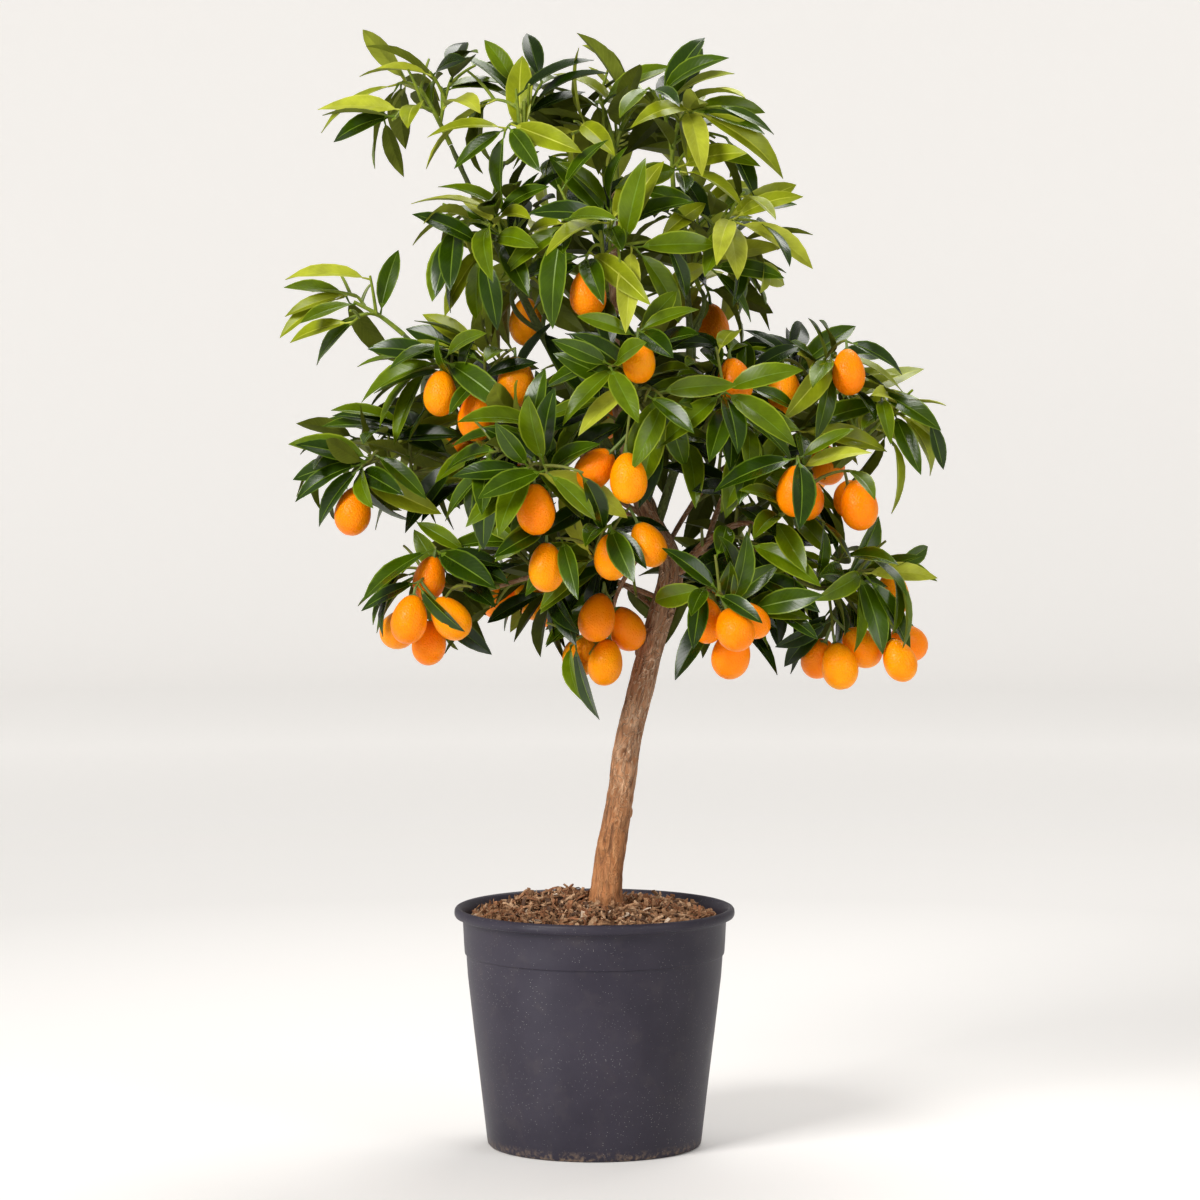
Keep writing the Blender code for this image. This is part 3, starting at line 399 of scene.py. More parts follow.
# %% The masses of foliage, from the top down
# share is how far along its parent a bough leaves it, via bends the bough, reach is the mass's half-size
# along x, y and z, shoots counts its leafy shoots, young is the share of pale new leaves, and fruit lists
# where a cluster hangs and how many fruit it has.
MASSES = (
    Mass("top_left", "trunk", 0.56, (-0.050, 0.005, 0.690), (-0.142, 0.000, 0.892), (0.100, 0.090, 0.074),
         3, 0.75, ()),
    Mass("top_left_inner", "bough_top_left", 0.78, (-0.080, -0.010, 0.845), (-0.062, -0.035, 0.880),
         (0.088, 0.085, 0.082), 3, 0.6, ()),
    Mass("top_centre", "trunk", 1.0, None, (0.010, 0.010, 0.872), (0.084, 0.085, 0.088), 3, 0.7, ()),
    Mass("top_right", "trunk", 0.53, (0.100, 0.006, 0.650), (0.070, -0.020, 0.862), (0.086, 0.086, 0.092),
         4, 0.65, ()),
    Mass("top_back", "trunk", 0.80, (0.025, 0.040, 0.760), (0.010, 0.090, 0.850), (0.100, 0.085, 0.098),
         3, 0.6, ()),
    Mass("upper_left", "bough_top_left", 0.50, (-0.080, -0.015, 0.715), (-0.084, -0.040, 0.778),
         (0.080, 0.088, 0.086), 3, 0.45, ()),
    Mass("upper_front", "trunk", 0.74, (0.012, -0.020, 0.710), (0.006, -0.078, 0.772), (0.098, 0.086, 0.092),
         3, 0.35, (((-0.008, -0.090, 0.756), 1),)),
    Mass("upper_right", "bough_top_right", 0.55, (0.100, -0.005, 0.725), (0.098, -0.024, 0.776),
         (0.094, 0.090, 0.082), 4, 0.5, ()),
    Mass("upper_back_left", "bough_top_left", 0.38, (-0.050, 0.040, 0.690), (-0.055, 0.082, 0.745),
         (0.090, 0.088, 0.090), 3, 0.45, (((-0.060, 0.100, 0.730), 1),)),
    Mass("upper_back_right", "bough_top_right", 0.40, (0.090, 0.045, 0.680), (0.085, 0.088, 0.740),
         (0.090, 0.088, 0.090), 3, 0.45, (((0.100, 0.105, 0.725), 1),)),
    Mass("left_sprig", "bough_left_upper", 0.60, (-0.125, 0.000, 0.655), (-0.196, 0.008, 0.716),
         (0.084, 0.062, 0.062), 2, 0.8, ()),
    Mass("left_upper", "bough_top_left", 0.14, (-0.040, -0.010, 0.610), (-0.114, -0.040, 0.656),
         (0.086, 0.084, 0.080), 3, 0.15, (((-0.128, -0.066, 0.672), 1), ((-0.095, -0.070, 0.655), 1),
                                          ((-0.066, -0.062, 0.684), 1))),
    Mass("left_outer", "trunk", 0.545, (-0.060, -0.015, 0.610), (-0.180, -0.012, 0.590),
         (0.090, 0.084, 0.080), 3, 0.3, (((-0.200, -0.030, 0.572), 1),)),
    Mass("left_low", "trunk", 0.43, (-0.020, 0.005, 0.505), (-0.126, -0.036, 0.486), (0.084, 0.084, 0.074),
         2, 0.1, (((-0.134, -0.050, 0.516), 1), ((-0.150, -0.072, 0.484), 2), ((-0.136, -0.045, 0.460), 2))),
    Mass("centre_left", "trunk", 0.52, (0.010, -0.030, 0.560), (-0.054, -0.110, 0.590),
         (0.090, 0.086, 0.088), 3, 0.1, (((-0.050, -0.128, 0.580), 1), ((-0.040, -0.110, 0.530), 1))),
    Mass("centre_front", "trunk", 0.64, (0.028, -0.035, 0.620), (0.034, -0.108, 0.656),
         (0.086, 0.086, 0.088), 3, 0.15, (((0.036, -0.130, 0.702), 1), ((0.026, -0.140, 0.606), 2))),
    Mass("centre_low", "trunk", 0.48, (0.030, -0.030, 0.510), (0.002, -0.084, 0.510),
         (0.074, 0.074, 0.066), 2, 0.1, (((0.014, -0.098, 0.538), 1), ((0.030, -0.090, 0.552), 1))),
    Mass("hanging_sprig", "bough_centre_low", 0.60, (0.018, -0.035, 0.480), (0.000, -0.032, 0.432),
         (0.052, 0.056, 0.070), 1, 0.35, (((0.008, -0.040, 0.486), 2), ((0.014, -0.034, 0.444), 2))),
    Mass("mid_right", "bough_top_right", 0.20, (0.090, -0.030, 0.590), (0.108, -0.086, 0.632),
         (0.084, 0.082, 0.086), 3, 0.1, (((0.112, -0.090, 0.684), 1),)),
    Mass("right_upper", "bough_right_mid", 0.45, (0.120, 0.010, 0.600), (0.184, -0.010, 0.655),
         (0.084, 0.080, 0.066), 3, 0.3, (((0.212, -0.040, 0.690), 1), ((0.158, -0.050, 0.674), 1))),
    Mass("right_outer", "bough_right_mid", 0.70, (0.190, 0.010, 0.590), (0.238, 0.012, 0.616),
         (0.078, 0.074, 0.074), 3, 0.8, ()),
    Mass("right_mid", "trunk", 0.44, (0.100, -0.010, 0.540), (0.168, -0.092, 0.562), (0.088, 0.080, 0.080),
         2, 0.15, (((0.168, -0.118, 0.596), 2), ((0.218, -0.090, 0.582), 2))),
    Mass("right_low", "bough_right_mid", 0.35, (0.150, -0.010, 0.520), (0.210, -0.036, 0.486),
         (0.088, 0.086, 0.088), 2, 0.2,
         (((0.200, -0.075, 0.444), 3), ((0.244, -0.060, 0.450), 2), ((0.252, 0.000, 0.500), 1))),
    Mass("front_low", "bough_right_mid", 0.18, (0.090, -0.050, 0.510), (0.110, -0.110, 0.472),
         (0.082, 0.074, 0.074), 2, 0.05, (((0.088, -0.120, 0.486), 3), ((0.120, -0.110, 0.462), 1))),
    Mass("back_left", "trunk", 0.60, (-0.010, 0.060, 0.600), (-0.110, 0.100, 0.605), (0.094, 0.090, 0.092),
         3, 0.25, (((-0.120, 0.135, 0.612), 2), ((-0.070, 0.140, 0.600), 1))),
    Mass("back_middle", "trunk", 0.63, (0.025, 0.060, 0.620), (0.030, 0.145, 0.635), (0.090, 0.088, 0.092),
         3, 0.2, (((0.010, 0.175, 0.642), 1), ((0.050, 0.170, 0.610), 2))),
    Mass("back_right", "trunk", 0.50, (0.100, 0.060, 0.580), (0.158, 0.098, 0.618), (0.088, 0.088, 0.090),
         3, 0.25, (((0.160, 0.135, 0.632), 1), ((0.190, 0.110, 0.600), 2))),
    Mass("back_left_low", "trunk", 0.41, (0.010, 0.060, 0.500), (-0.058, 0.100, 0.486),
         (0.090, 0.086, 0.072), 2, 0.1, (((-0.080, 0.120, 0.490), 2), ((-0.040, 0.130, 0.480), 1))),
    Mass("back_right_low", "trunk", 0.42, (0.080, 0.060, 0.500), (0.118, 0.090, 0.486),
         (0.090, 0.086, 0.074), 2, 0.1, (((0.130, 0.120, 0.490), 2), ((0.095, 0.125, 0.480), 1))),
)
TOP = [mass.name for mass in MASSES if mass.centre[2] > 0.72]
GREEN_WOOD = TOP + ["left_sprig", "right_outer"]
print("masses:", len(MASSES), "of which at the top:", len(TOP))


# %% Lines that bend, and places along them
def bend_points(start, via, end, steps):
    """Points along a quadratic bend from start to end, pulled towards via."""
    shares = [index / steps for index in range(steps + 1)]
    return [start * (1 - s) ** 2 + via * (2 * s * (1 - s)) + end * s * s for s in shares]


def taper(first, last, steps):
    return [first + (last - first) * index / steps for index in range(steps + 1)]


def limb_length(limb):
    return sum((b - a).length for a, b in zip(limb.points, limb.points[1:]))


def along_limb(limb, share):
    """The point, direction and radius at a share of the limb's length."""
    left = share * limb_length(limb)
    for a, b, first, last in zip(limb.points, limb.points[1:], limb.radii, limb.radii[1:]):
        length = (b - a).length
        if left <= length:
            break
        left -= length
    else:
        left = length
    part = left / length
    return a.lerp(b, part), (b - a).normalized(), first + (last - first) * part


def square_to(direction, angle):
    """A unit vector square to direction, turned by angle round it."""
    side = direction.cross(Vector((0, 0, 1)))
    if side.length < 0.05:
        side = direction.cross(Vector((1, 0, 0)))
    return Matrix.Rotation(angle, 3, direction) @ side.normalized()


def outward(point):
    """The level direction away from the crown's axis."""
    way = Vector((point[0] - CROWN_AXIS_X, point[1], 0.0))
    return way.normalized() if way.length > 0.01 else Vector((0, -1, 0))


# %% The trunk and the boughs
def masses_fed(name):
    """How many masses a bough feeds: its own, and those of the boughs that leave it."""
    return 1 + sum(masses_fed("bough_" + mass.name) for mass in MASSES if mass.parent == name)


def reach_share(mass, point):
    """How far out a point lies from the middle of a mass, where 1 is the edge of its reach."""
    way = point - Vector(mass.centre)
    return Vector(part / reach for part, reach in zip(way, mass.reach)).length


def bough_line(mass, parent):
    """The bough of one mass: it leaves its parent's middle line and ends where it enters the mass."""
    foot, _, _ = along_limb(parent, mass.share)
    centre = Vector(mass.centre)
    end = centre + (foot - centre) * (ENTRY_SHARE / reach_share(mass, foot))
    name = "bough_" + mass.name
    first_radius = BOUGH_RADIUS * math.sqrt(masses_fed(name))
    points = bend_points(foot, Vector(mass.via), end, BOUGH_STEPS)
    return Limb(name, points, taper(first_radius, BOUGH_TIP_RADIUS, BOUGH_STEPS))


def grow_limbs():
    """The trunk and the boughs, each bough after the limb that it leaves."""
    limbs = {"trunk": Limb("trunk", [Vector(point[:3]) for point in TRUNK], [point[3] for point in TRUNK])}
    waiting = [mass for mass in MASSES if mass.via]
    while waiting:
        mass = waiting.pop(0)
        if mass.parent in limbs:
            limbs["bough_" + mass.name] = bough_line(mass, limbs[mass.parent])
        else:
            waiting.append(mass)
    return limbs


LIMBS = grow_limbs()
print("limbs:", len(LIMBS), "trunk length:", round(limb_length(LIMBS["trunk"]), 3))


# %% Stems, shoots and fruit twigs inside a mass
def mass_stem(mass):
    """The stem that goes on from the bough's tip, square to it at first."""
    tip, direction, radius = along_limb(LIMBS["bough_" + mass.name if mass.via else mass.parent], 1.0)
    centre = Vector(mass.centre)
    start = tip + direction * SEAT
    root = start + direction * STEM_STRAIGHT
    end = centre + (centre - tip) * STEM_OVERRUN
    points = bend_points(root, root + direction * (end - root).length / 2, end, STEM_STEPS)
    return Limb(mass.name, [start, *points], [radius, *taper(radius, TWIG_RADIUS, STEM_STEPS)])


def twig_line(foot, end, lift=TWIG_LIFT):
    """A twig that rises a little in the middle on its way from foot to end."""
    points = bend_points(foot, foot.lerp(end, 0.5) + Vector((0, 0, lift)), end, TWIG_STEPS)
    return Limb("twig", points, taper(TWIG_RADIUS, TWIG_TIP_RADIUS, TWIG_STEPS))


def leafy_shoots(mass, stem):
    """Shoots that fan out from the stem by the golden angle, outwards and upwards."""
    centre = Vector(mass.centre)
    axis = (outward(centre) + Vector((0, 0, SHOOT_UPWARD))).normalized()
    shoots = []
    for index in range(mass.shoots):
        draw = random.Random(f"{mass.name} shoot {index}")
        share = (index + 0.5) / mass.shoots
        tilt = math.acos(1 - SHOOT_SPREAD * share)
        around = square_to(axis, GOLDEN_ANGLE * index + draw.uniform(-0.4, 0.4))
        direction = axis * math.cos(tilt) + around * math.sin(tilt)
        tip = centre + Vector(part * reach for part, reach in zip(direction, mass.reach)) * SHOOT_REACH
        foot, _, _ = along_limb(stem, SHOOT_FOOT[1] + (SHOOT_FOOT[0] - SHOOT_FOOT[1]) * share)
        shoots.append(twig_line(foot, tip))
    return shoots


def fruit_twig(stem, hang):
    """The twig that carries a fruit cluster, from the place on the stem nearest to the cluster."""
    feet = [along_limb(stem, share)[0] for share in FRUIT_TWIG_FEET]
    return twig_line(min(feet, key=lambda foot: (foot - hang).length), hang)


# %% [markdown]
# Fruit hang from a twig's tip in clusters that never touch. Each fruit is tried upright first, then turned
# and tilted a little more each time until it is clear of its neighbours and of every limb.

# %% Fruit clusters
FRUIT_LENGTH = (0.0375, 0.0435)
FRUIT_WIDTH = (0.345, 0.375)
FRUIT_STEP = 0.009
FRUIT_TRIES = 30
FRUIT_TILT = 0.12
FRUIT_TILT_GROWTH = 0.03
STALK_LENGTH = 0.007
STALK_GROWTH = 0.0006
LIMB_GAP = 0.0006


def span_gap(a, b, c, d):
    """The least distance between two straight spans, taken between five places along each."""
    shares = (0.0, 0.25, 0.5, 0.75, 1.0)
    return min((a.lerp(b, s) - c.lerp(d, t)).length for s in shares for t in shares)


def fruit_span(fruit):
    """The middle of a fruit's axis: the whole fruit lies within its width of this span."""
    top = fruit.foot + fruit.axis * fruit.stalk
    return top + fruit.axis * fruit.width, top + fruit.axis * (fruit.length - fruit.width)


def fruit_has_room(fruit, others):
    """True if a fruit keeps clear of the fruit before it and of every limb."""
    start, end = fruit_span(fruit)
    for other in others:
        if span_gap(start, end, *fruit_span(other)) < fruit.width + other.width:
            return False
    for limb in LIMBS.values():
        for a, b, radius in zip(limb.points, limb.points[1:], limb.radii):
            if span_gap(start, end, a, b) < fruit.width + radius + LIMB_GAP:
                return False
    return True


def cluster_fruit(mass, number, twig, count, others):
    """Fruit that hangs near a twig's tip, each turned and tilted until it is clear of the rest."""
    draw = random.Random(f"{mass.name} fruit {number}")
    turn = draw.uniform(0, 2 * math.pi)
    found = []
    for index in range(count):
        length = draw.uniform(*FRUIT_LENGTH)
        width = length * draw.uniform(*FRUIT_WIDTH)
        foot, _, _ = along_limb(twig, 1 - (FRUIT_STEP * index + TWIG_TIP_RADIUS) / limb_length(twig))
        for attempt in range(FRUIT_TRIES):
            angle = turn + GOLDEN_ANGLE * (index + attempt)
            tilt = FRUIT_TILT + FRUIT_TILT_GROWTH * attempt
            side = Vector((math.cos(angle), math.sin(angle), 0.0))
            axis = Vector((0, 0, -math.cos(tilt))) + side * math.sin(tilt) + outward(foot) * 0.1
            fruit = Fruit(foot, axis.normalized(), STALK_LENGTH + STALK_GROWTH * attempt, length, width)
            if fruit_has_room(fruit, others + found):
                found.append(fruit)
                break
    return found


# %% [markdown]
# Leaves follow the golden angle round their twig. Their upper faces turn to the sky and to the outside of
# the crown, they stand nearly level at the top and hang lower down, and a leaf that would cut through
# fruit, wood or another leaf is turned on round the twig until it has room, or is left out.

# %% Where leaves grow and how each is aimed
LEAF_THICKNESS = 0.0016
MATURE_LENGTH = (0.072, 0.090)
MATURE_WIDTH = (0.20, 0.23)
MATURE_ARCH = (0.15, 0.50)
YOUNG_LENGTH = (0.082, 0.104)
YOUNG_WIDTH = (0.16, 0.18)
YOUNG_ARCH = (0.30, 0.80)
LEAF_FOLD = (0.2, 0.5)
LEAF_ROLL = (-0.5, 0.5)
SHOOT_LEAF_ANGLE = (0.80, 1.15)
WHORL_LEAF_ANGLE = (0.95, 1.25)
BARE_SHARE = 0.3
LEAF_GAP = 0.0162
SHOOT_WHORL = 3
FRUIT_WHORL = 4
WHORL_STEP = 0.0026
LEAF_TRIES = ((0.0, 1.0), (0.6, 1.0), (-0.6, 1.0), (1.2, 0.9), (-1.2, 0.9), (1.9, 0.85), (-1.9, 0.85),
              (2.7, 0.8), (0.3, 0.75), (-0.9, 0.7), (0.9, 0.7))
HANG_TOP = -0.1
HANG_LOW = 0.18
HANG_HEIGHT = 0.86
HANG_RANGE = 0.36
WINDOW = Vector((-0.10, -0.45, 0.0))
WINDOW_DEPTH = 0.15


def leaf_places(twig, whorl, whorl_only):
    """Where leaves leave a twig: the point, the twig's direction there, and the angle round the twig."""
    length = limb_length(twig)
    count = 0 if whorl_only else int(length * (1 - BARE_SHARE) / LEAF_GAP)
    shares = [BARE_SHARE + (1 - BARE_SHARE) * index / (count + 1) for index in range(1, count + 1)]
    shares += [1.0 - WHORL_STEP * (index + 0.6) / length for index in range(whorl)]
    return [(*along_limb(twig, share)[:2], GOLDEN_ANGLE * index) for index, share in enumerate(shares)]


def leaf_traits(mass, draw, leaf_angle):
    """The size and form of one leaf, young or full grown."""
    young = draw.random() < mass.young
    away = draw.uniform(*leaf_angle)
    length = draw.uniform(*(YOUNG_LENGTH if young else MATURE_LENGTH))
    width = length * draw.uniform(*(YOUNG_WIDTH if young else MATURE_WIDTH))
    arch = draw.uniform(*(YOUNG_ARCH if young else MATURE_ARCH))
    return Traits(away, length, width, arch, draw.uniform(*LEAF_FOLD), draw.uniform(*LEAF_ROLL), young)


def aim_leaf(traits, foot, tangent, angle, scale):
    """A leaf that leaves its twig at an angle, with its upper face to the sky, the outside and the light."""
    low = min(1.0, max(0.0, (HANG_HEIGHT - foot.z) / HANG_RANGE))
    hang = Vector((0, 0, HANG_TOP + (HANG_LOW - HANG_TOP) * low))
    along = square_to(tangent, angle) * math.sin(traits.away) + tangent * math.cos(traits.away) - hang
    along.normalize()
    up = Vector((0, 0, 0.85 - 0.35 * low)) + outward(foot) * (0.4 + 0.35 * low) + tangent * 0.25
    up += WINDOW * min(1.0, max(0.0, 0.5 - foot.y / WINDOW_DEPTH))
    up -= along * up.dot(along)
    if up.length < 0.2:
        up = square_to(along, 0.0)
    up = Matrix.Rotation(traits.roll, 3, along) @ up.normalized()
    return Leaf(foot, along, up, traits.length * scale, traits.width * scale, traits.arch, traits.fold,
                traits.young)


def leaf_point(leaf, share, side, lift):
    """A place on a leaf: share runs along the arched rib, side across the folded blade."""
    turned = leaf.arch * share
    forward = leaf.along * (math.sin(turned) / leaf.arch) - leaf.up * ((1 - math.cos(turned)) / leaf.arch)
    normal = leaf.up * math.cos(turned) + leaf.along * math.sin(turned)
    across = leaf.along.cross(leaf.up) * side
    blade = across * math.cos(leaf.fold) + normal * (abs(side) * math.sin(leaf.fold))
    return leaf.foot + forward * leaf.length + blade * leaf.width + normal * lift


# %% Simple stand-in shapes that tell whether two things touch
LEAF_FACES = ((0, 1, 2), (0, 2, 3), (0, 3, 4), (0, 4, 1), (5, 2, 1), (5, 3, 2), (5, 4, 3), (5, 1, 4))


def leaf_outline(leaf):
    """An eight-faced stand-in for a leaf: its root, two sides, top, underside and tip."""
    lift = LEAF_THICKNESS / 2
    places = ((0, 0, 0), (0.5, 1, 0), (0.5, 0, lift), (0.5, -1, 0), (0.5, 0, -lift), (1, 0, 0))
    return [leaf_point(leaf, *place) for place in places], LEAF_FACES


def tube_outline(limb, sides, extra=0.0):
    """A coarse tube round a limb, thicker by extra."""
    verts = []
    for index, (point, radius) in enumerate(zip(limb.points, limb.radii)):
        before = limb.points[max(0, index - 1)]
        after = limb.points[min(len(limb.points) - 1, index + 1)]
        direction = (after - before).normalized()
        verts += [point + square_to(direction, 2 * math.pi * side / sides) * (radius + extra)
                  for side in range(sides)]
    faces = []
    for ring in range(len(limb.points) - 1):
        for side in range(sides):
            a, b = ring * sides + side, ring * sides + (side + 1) % sides
            faces += [(a, b, b + sides), (a, b + sides, a + sides)]
    return verts, faces


def fruit_outline(fruit, swell=1.0, away=0.0):
    """A coarse egg round a fruit, which may be larger than it and further out."""
    start, end = fruit_span(fruit)
    middle = start.lerp(end, 0.5) + outward(fruit.foot) * away
    side = square_to(fruit.axis, 0.0)
    across = fruit.axis.cross(side)
    half = fruit.length / 2 * swell
    verts = [middle + fruit.axis * half, middle - fruit.axis * half]
    faces = []
    for ring, (height, radius) in enumerate(((0.6, 0.8), (0.0, 1.05), (-0.6, 0.8))):
        for turn in range(8):
            angle = 2 * math.pi * turn / 8
            reach = fruit.width * radius * swell
            verts.append(middle + fruit.axis * (half * height)
                         + (side * math.cos(angle) + across * math.sin(angle)) * reach)
            a, b = 2 + ring * 8 + turn, 2 + ring * 8 + (turn + 1) % 8
            if ring < 2:
                faces += [(a, b, b + 8), (a, b + 8, a + 8)]
            faces += {0: [(0, b, a)], 2: [(1, a, b)]}.get(ring, [])
    return verts, faces


def tree_of(*outlines):
    """One search tree for any number of outlines."""
    verts, faces = [], []
    for more_verts, more_faces in outlines:
        base = len(verts)
        verts += more_verts
        faces += [tuple(base + index for index in face) for face in more_faces]
    return BVHTree.FromPolygons(verts, faces)


def has_room(outline, obstacles):
    own = tree_of(outline)
    return not any(own.overlap(other) for other in obstacles)


def in_space(mass, points):
    """True if every point is within the mass's reach and not far past the plane to a neighbour."""
    centre = Vector(mass.centre)
    size = sum(mass.reach) / 3
    for point in points:
        if reach_share(mass, point) > 1.0:
            return False
        own = (point - centre).length_squared - size ** 2
        for other in MASSES:
            if other is not mass:
                middle = Vector(other.centre)
                theirs = (point - middle).length_squared - (sum(other.reach) / 3) ** 2
                if (theirs - own) / (2 * (middle - centre).length) < -CELL_OVERLAP:
                    return False
    return True


# %% [markdown]
# The crown grows in two passes. The first gives every mass the same wood, fruit and leaves as the frame.
# The second carries it on to finer twigs: side twigs branch from the shoots, and more leaves fill the
# spaces between the first ones, all within the same reach.

# %% First pass: the frame's own leaves
REAL_WIDTH = {False: 0.75, True: 0.86}
Grown = namedtuple("Grown", "mass stem shoots fruit_twigs fruits leaves")


def grow_mass(mass, obstacles):
    """The wood, fruit and leaves of one mass. Each leaf is kept with the number of its spray."""
    stem = mass_stem(mass)
    fruits = []
    twigs = []
    for number, (hang, count) in enumerate(mass.fruit):
        twig = fruit_twig(stem, Vector(hang))
        twigs.append((twig, True))
        fruits += cluster_fruit(mass, number, twig, count, fruits)
    twigs += [(shoot, False) for shoot in leafy_shoots(mass, stem)]
    twigs = [(twig, bears) for twig, bears in twigs if has_room(tube_outline(twig, 3), obstacles)]
    trees = [tree_of(tube_outline(twig, 3)) for twig, _ in twigs]
    standing = obstacles + [tree_of(fruit_outline(fruit)) for fruit in fruits]
    leaves = []
    for number, (twig, bears) in enumerate(twigs):
        draw = random.Random(f"{mass.name} leaves {number}")
        others = trees[:number] + trees[number + 1:]
        whorl = FRUIT_WHORL if bears else SHOOT_WHORL
        leaf_angle = WHORL_LEAF_ANGLE if bears else SHOOT_LEAF_ANGLE
        for foot, tangent, angle in leaf_places(twig, whorl, bears):
            traits = leaf_traits(mass, draw, leaf_angle)
            for turn, scale in LEAF_TRIES:
                leaf = aim_leaf(traits, foot, tangent, angle + turn, scale)
                outline = leaf_outline(leaf)
                if in_space(mass, outline[0]) and has_room(outline, standing + others):
                    standing.append(tree_of(outline))
                    leaves.append((leaf._replace(width=leaf.width * REAL_WIDTH[leaf.young]), number))
                    break
    shoots = [twig for twig, bears in twigs if not bears]
    return Grown(mass, stem, shoots, [twig for twig, bears in twigs if bears], fruits, leaves)


def apart(first, second):
    """How far the middles of two masses lie from each other, as a share of their summed reach."""
    return (Vector(first.centre) - Vector(second.centre)).length / (max(first.reach) + max(second.reach))


limb_trees = [tree_of(tube_outline(limb, 10, LIMB_GAP)) for limb in LIMBS.values()]
crown = []
wood_trees = []
leaf_trees = []
for mass in MASSES:
    near = [tree for trees in (wood_trees, leaf_trees) for tree, other in zip(trees, crown)
            if apart(mass, other.mass) < 1]
    grown = grow_mass(mass, limb_trees + near)
    crown.append(grown)
    twigs = [grown.stem, *grown.shoots, *grown.fruit_twigs]
    wood_trees.append(tree_of(*[tube_outline(twig, 3) for twig in twigs]))
    leaf_trees.append(tree_of(*[fruit_outline(fruit) for fruit in grown.fruits],
                              *[leaf_outline(leaf) for leaf, _ in grown.leaves]))
print("first pass:", sum(len(grown.leaves) for grown in crown), "leaves,",
      sum(len(grown.fruits) for grown in crown), "fruit")

# %% Second pass: finer twigs and more leaves
SIDE_TWIG_SHARES = (0.22, 0.45, 0.7)
SIDE_TWIG_LENGTH = (0.022, 0.040)
SIDE_TWIG_ANGLE = (0.7, 1.1)
FINE_GAP = 0.0085
FINE_TRIES = LEAF_TRIES[:8]
FINE_LENGTH_SHARE = (0.72, 1.0)
FRUIT_WINDOW = (1.12, 0.010)
BOUGH_TWIG_GAP = 0.020
BOUGH_TWIG_START = 0.35
INNER_REACH = 1.12
OPEN = {"left_sprig": 0.45, "right_outer": 0.6, "hanging_sprig": 0.4, "top_left": 0.40, **dict.fromkeys(
    ("top_left_inner", "top_centre", "top_right", "top_back", "upper_left", "upper_right"), 0.42),
    **dict.fromkeys(("upper_front", "upper_back_left", "upper_back_right", "left_upper"), 0.32),
    **dict.fromkeys(("left_outer", "left_low", "centre_left", "centre_front", "mid_right"), 0.60)}
OPEN_ELSEWHERE = 0.85
SIDE_TWIG_LIFT = 0.004
GAPS = (((0.052, -0.075, 0.490), (0.036, 0.085, 0.042)), ((0.082, -0.060, 0.512), (0.024, 0.080, 0.024)))


def side_twigs(mass, shoots):
    """Short twigs that branch from the shoots, each turned on by the golden angle."""
    found = []
    for number, shoot in enumerate(shoots):
        draw = random.Random(f"{mass.name} side twigs {number}")
        for index, share in enumerate(SIDE_TWIG_SHARES):
            foot, tangent, _ = along_limb(shoot, share)
            away = draw.uniform(*SIDE_TWIG_ANGLE)
            around = square_to(tangent, GOLDEN_ANGLE * (2 * number + index) + draw.uniform(-0.5, 0.5))
            way = tangent * math.cos(away) + around * math.sin(away) + Vector((0, 0, 0.15))
            tip = foot + way.normalized() * draw.uniform(*SIDE_TWIG_LENGTH)
            found.append(twig_line(foot, tip, SIDE_TWIG_LIFT))
    return found


def bough_twigs(mass):
    """Short leafy twigs along the outer part of a bough, which hide the wood inside the crown."""
    if not mass.via or mass.name in GREEN_WOOD:
        return []
    bough = LIMBS["bough_" + mass.name]
    count = int(limb_length(bough) * (1 - BOUGH_TWIG_START) / BOUGH_TWIG_GAP)
    draw = random.Random(f"{mass.name} bough twigs")
    found = []
    for index in range(count):
        share = BOUGH_TWIG_START + (1 - BOUGH_TWIG_START) * (index + 0.5) / count
        foot, tangent, radius = along_limb(bough, share)
        around = square_to(tangent, GOLDEN_ANGLE * index + draw.uniform(-0.5, 0.5))
        away = draw.uniform(*SIDE_TWIG_ANGLE)
        way = (tangent * math.cos(away) + around * math.sin(away)).normalized()
        tip = foot + way * (radius + draw.uniform(*SIDE_TWIG_LENGTH))
        found.append(twig_line(foot + around * radius * 0.6, tip, SIDE_TWIG_LIFT))
    return found


def inside_crown(points):
    """True if every point is within or close to the reach of some mass."""
    return all(any(reach_share(mass, point) < INNER_REACH for mass in MASSES) for point in points)


def in_gap(points):
    """True if a leaf would cover one of the gaps where the fork shows between the leaves."""
    for centre, reach in GAPS:
        for point in points:
            if Vector((point[axis] - centre[axis]) / reach[axis] for axis in range(3)).length < 1:
                return True
    return False


def fine_places(twig, first, whorl):
    """Places for leaves along a twig at the fine spacing, and round its tip."""
    length = limb_length(twig)
    count = int(length * (1 - first) / FINE_GAP)
    shares = [first + (1 - first) * (index + 0.5) / max(1, count) for index in range(count)]
    shares += [1.0 - WHORL_STEP * (index + 0.3) / length for index in range(whorl)]
    return [(*along_limb(twig, share)[:2], GOLDEN_ANGLE * index + 1.2) for index, share in enumerate(shares)]


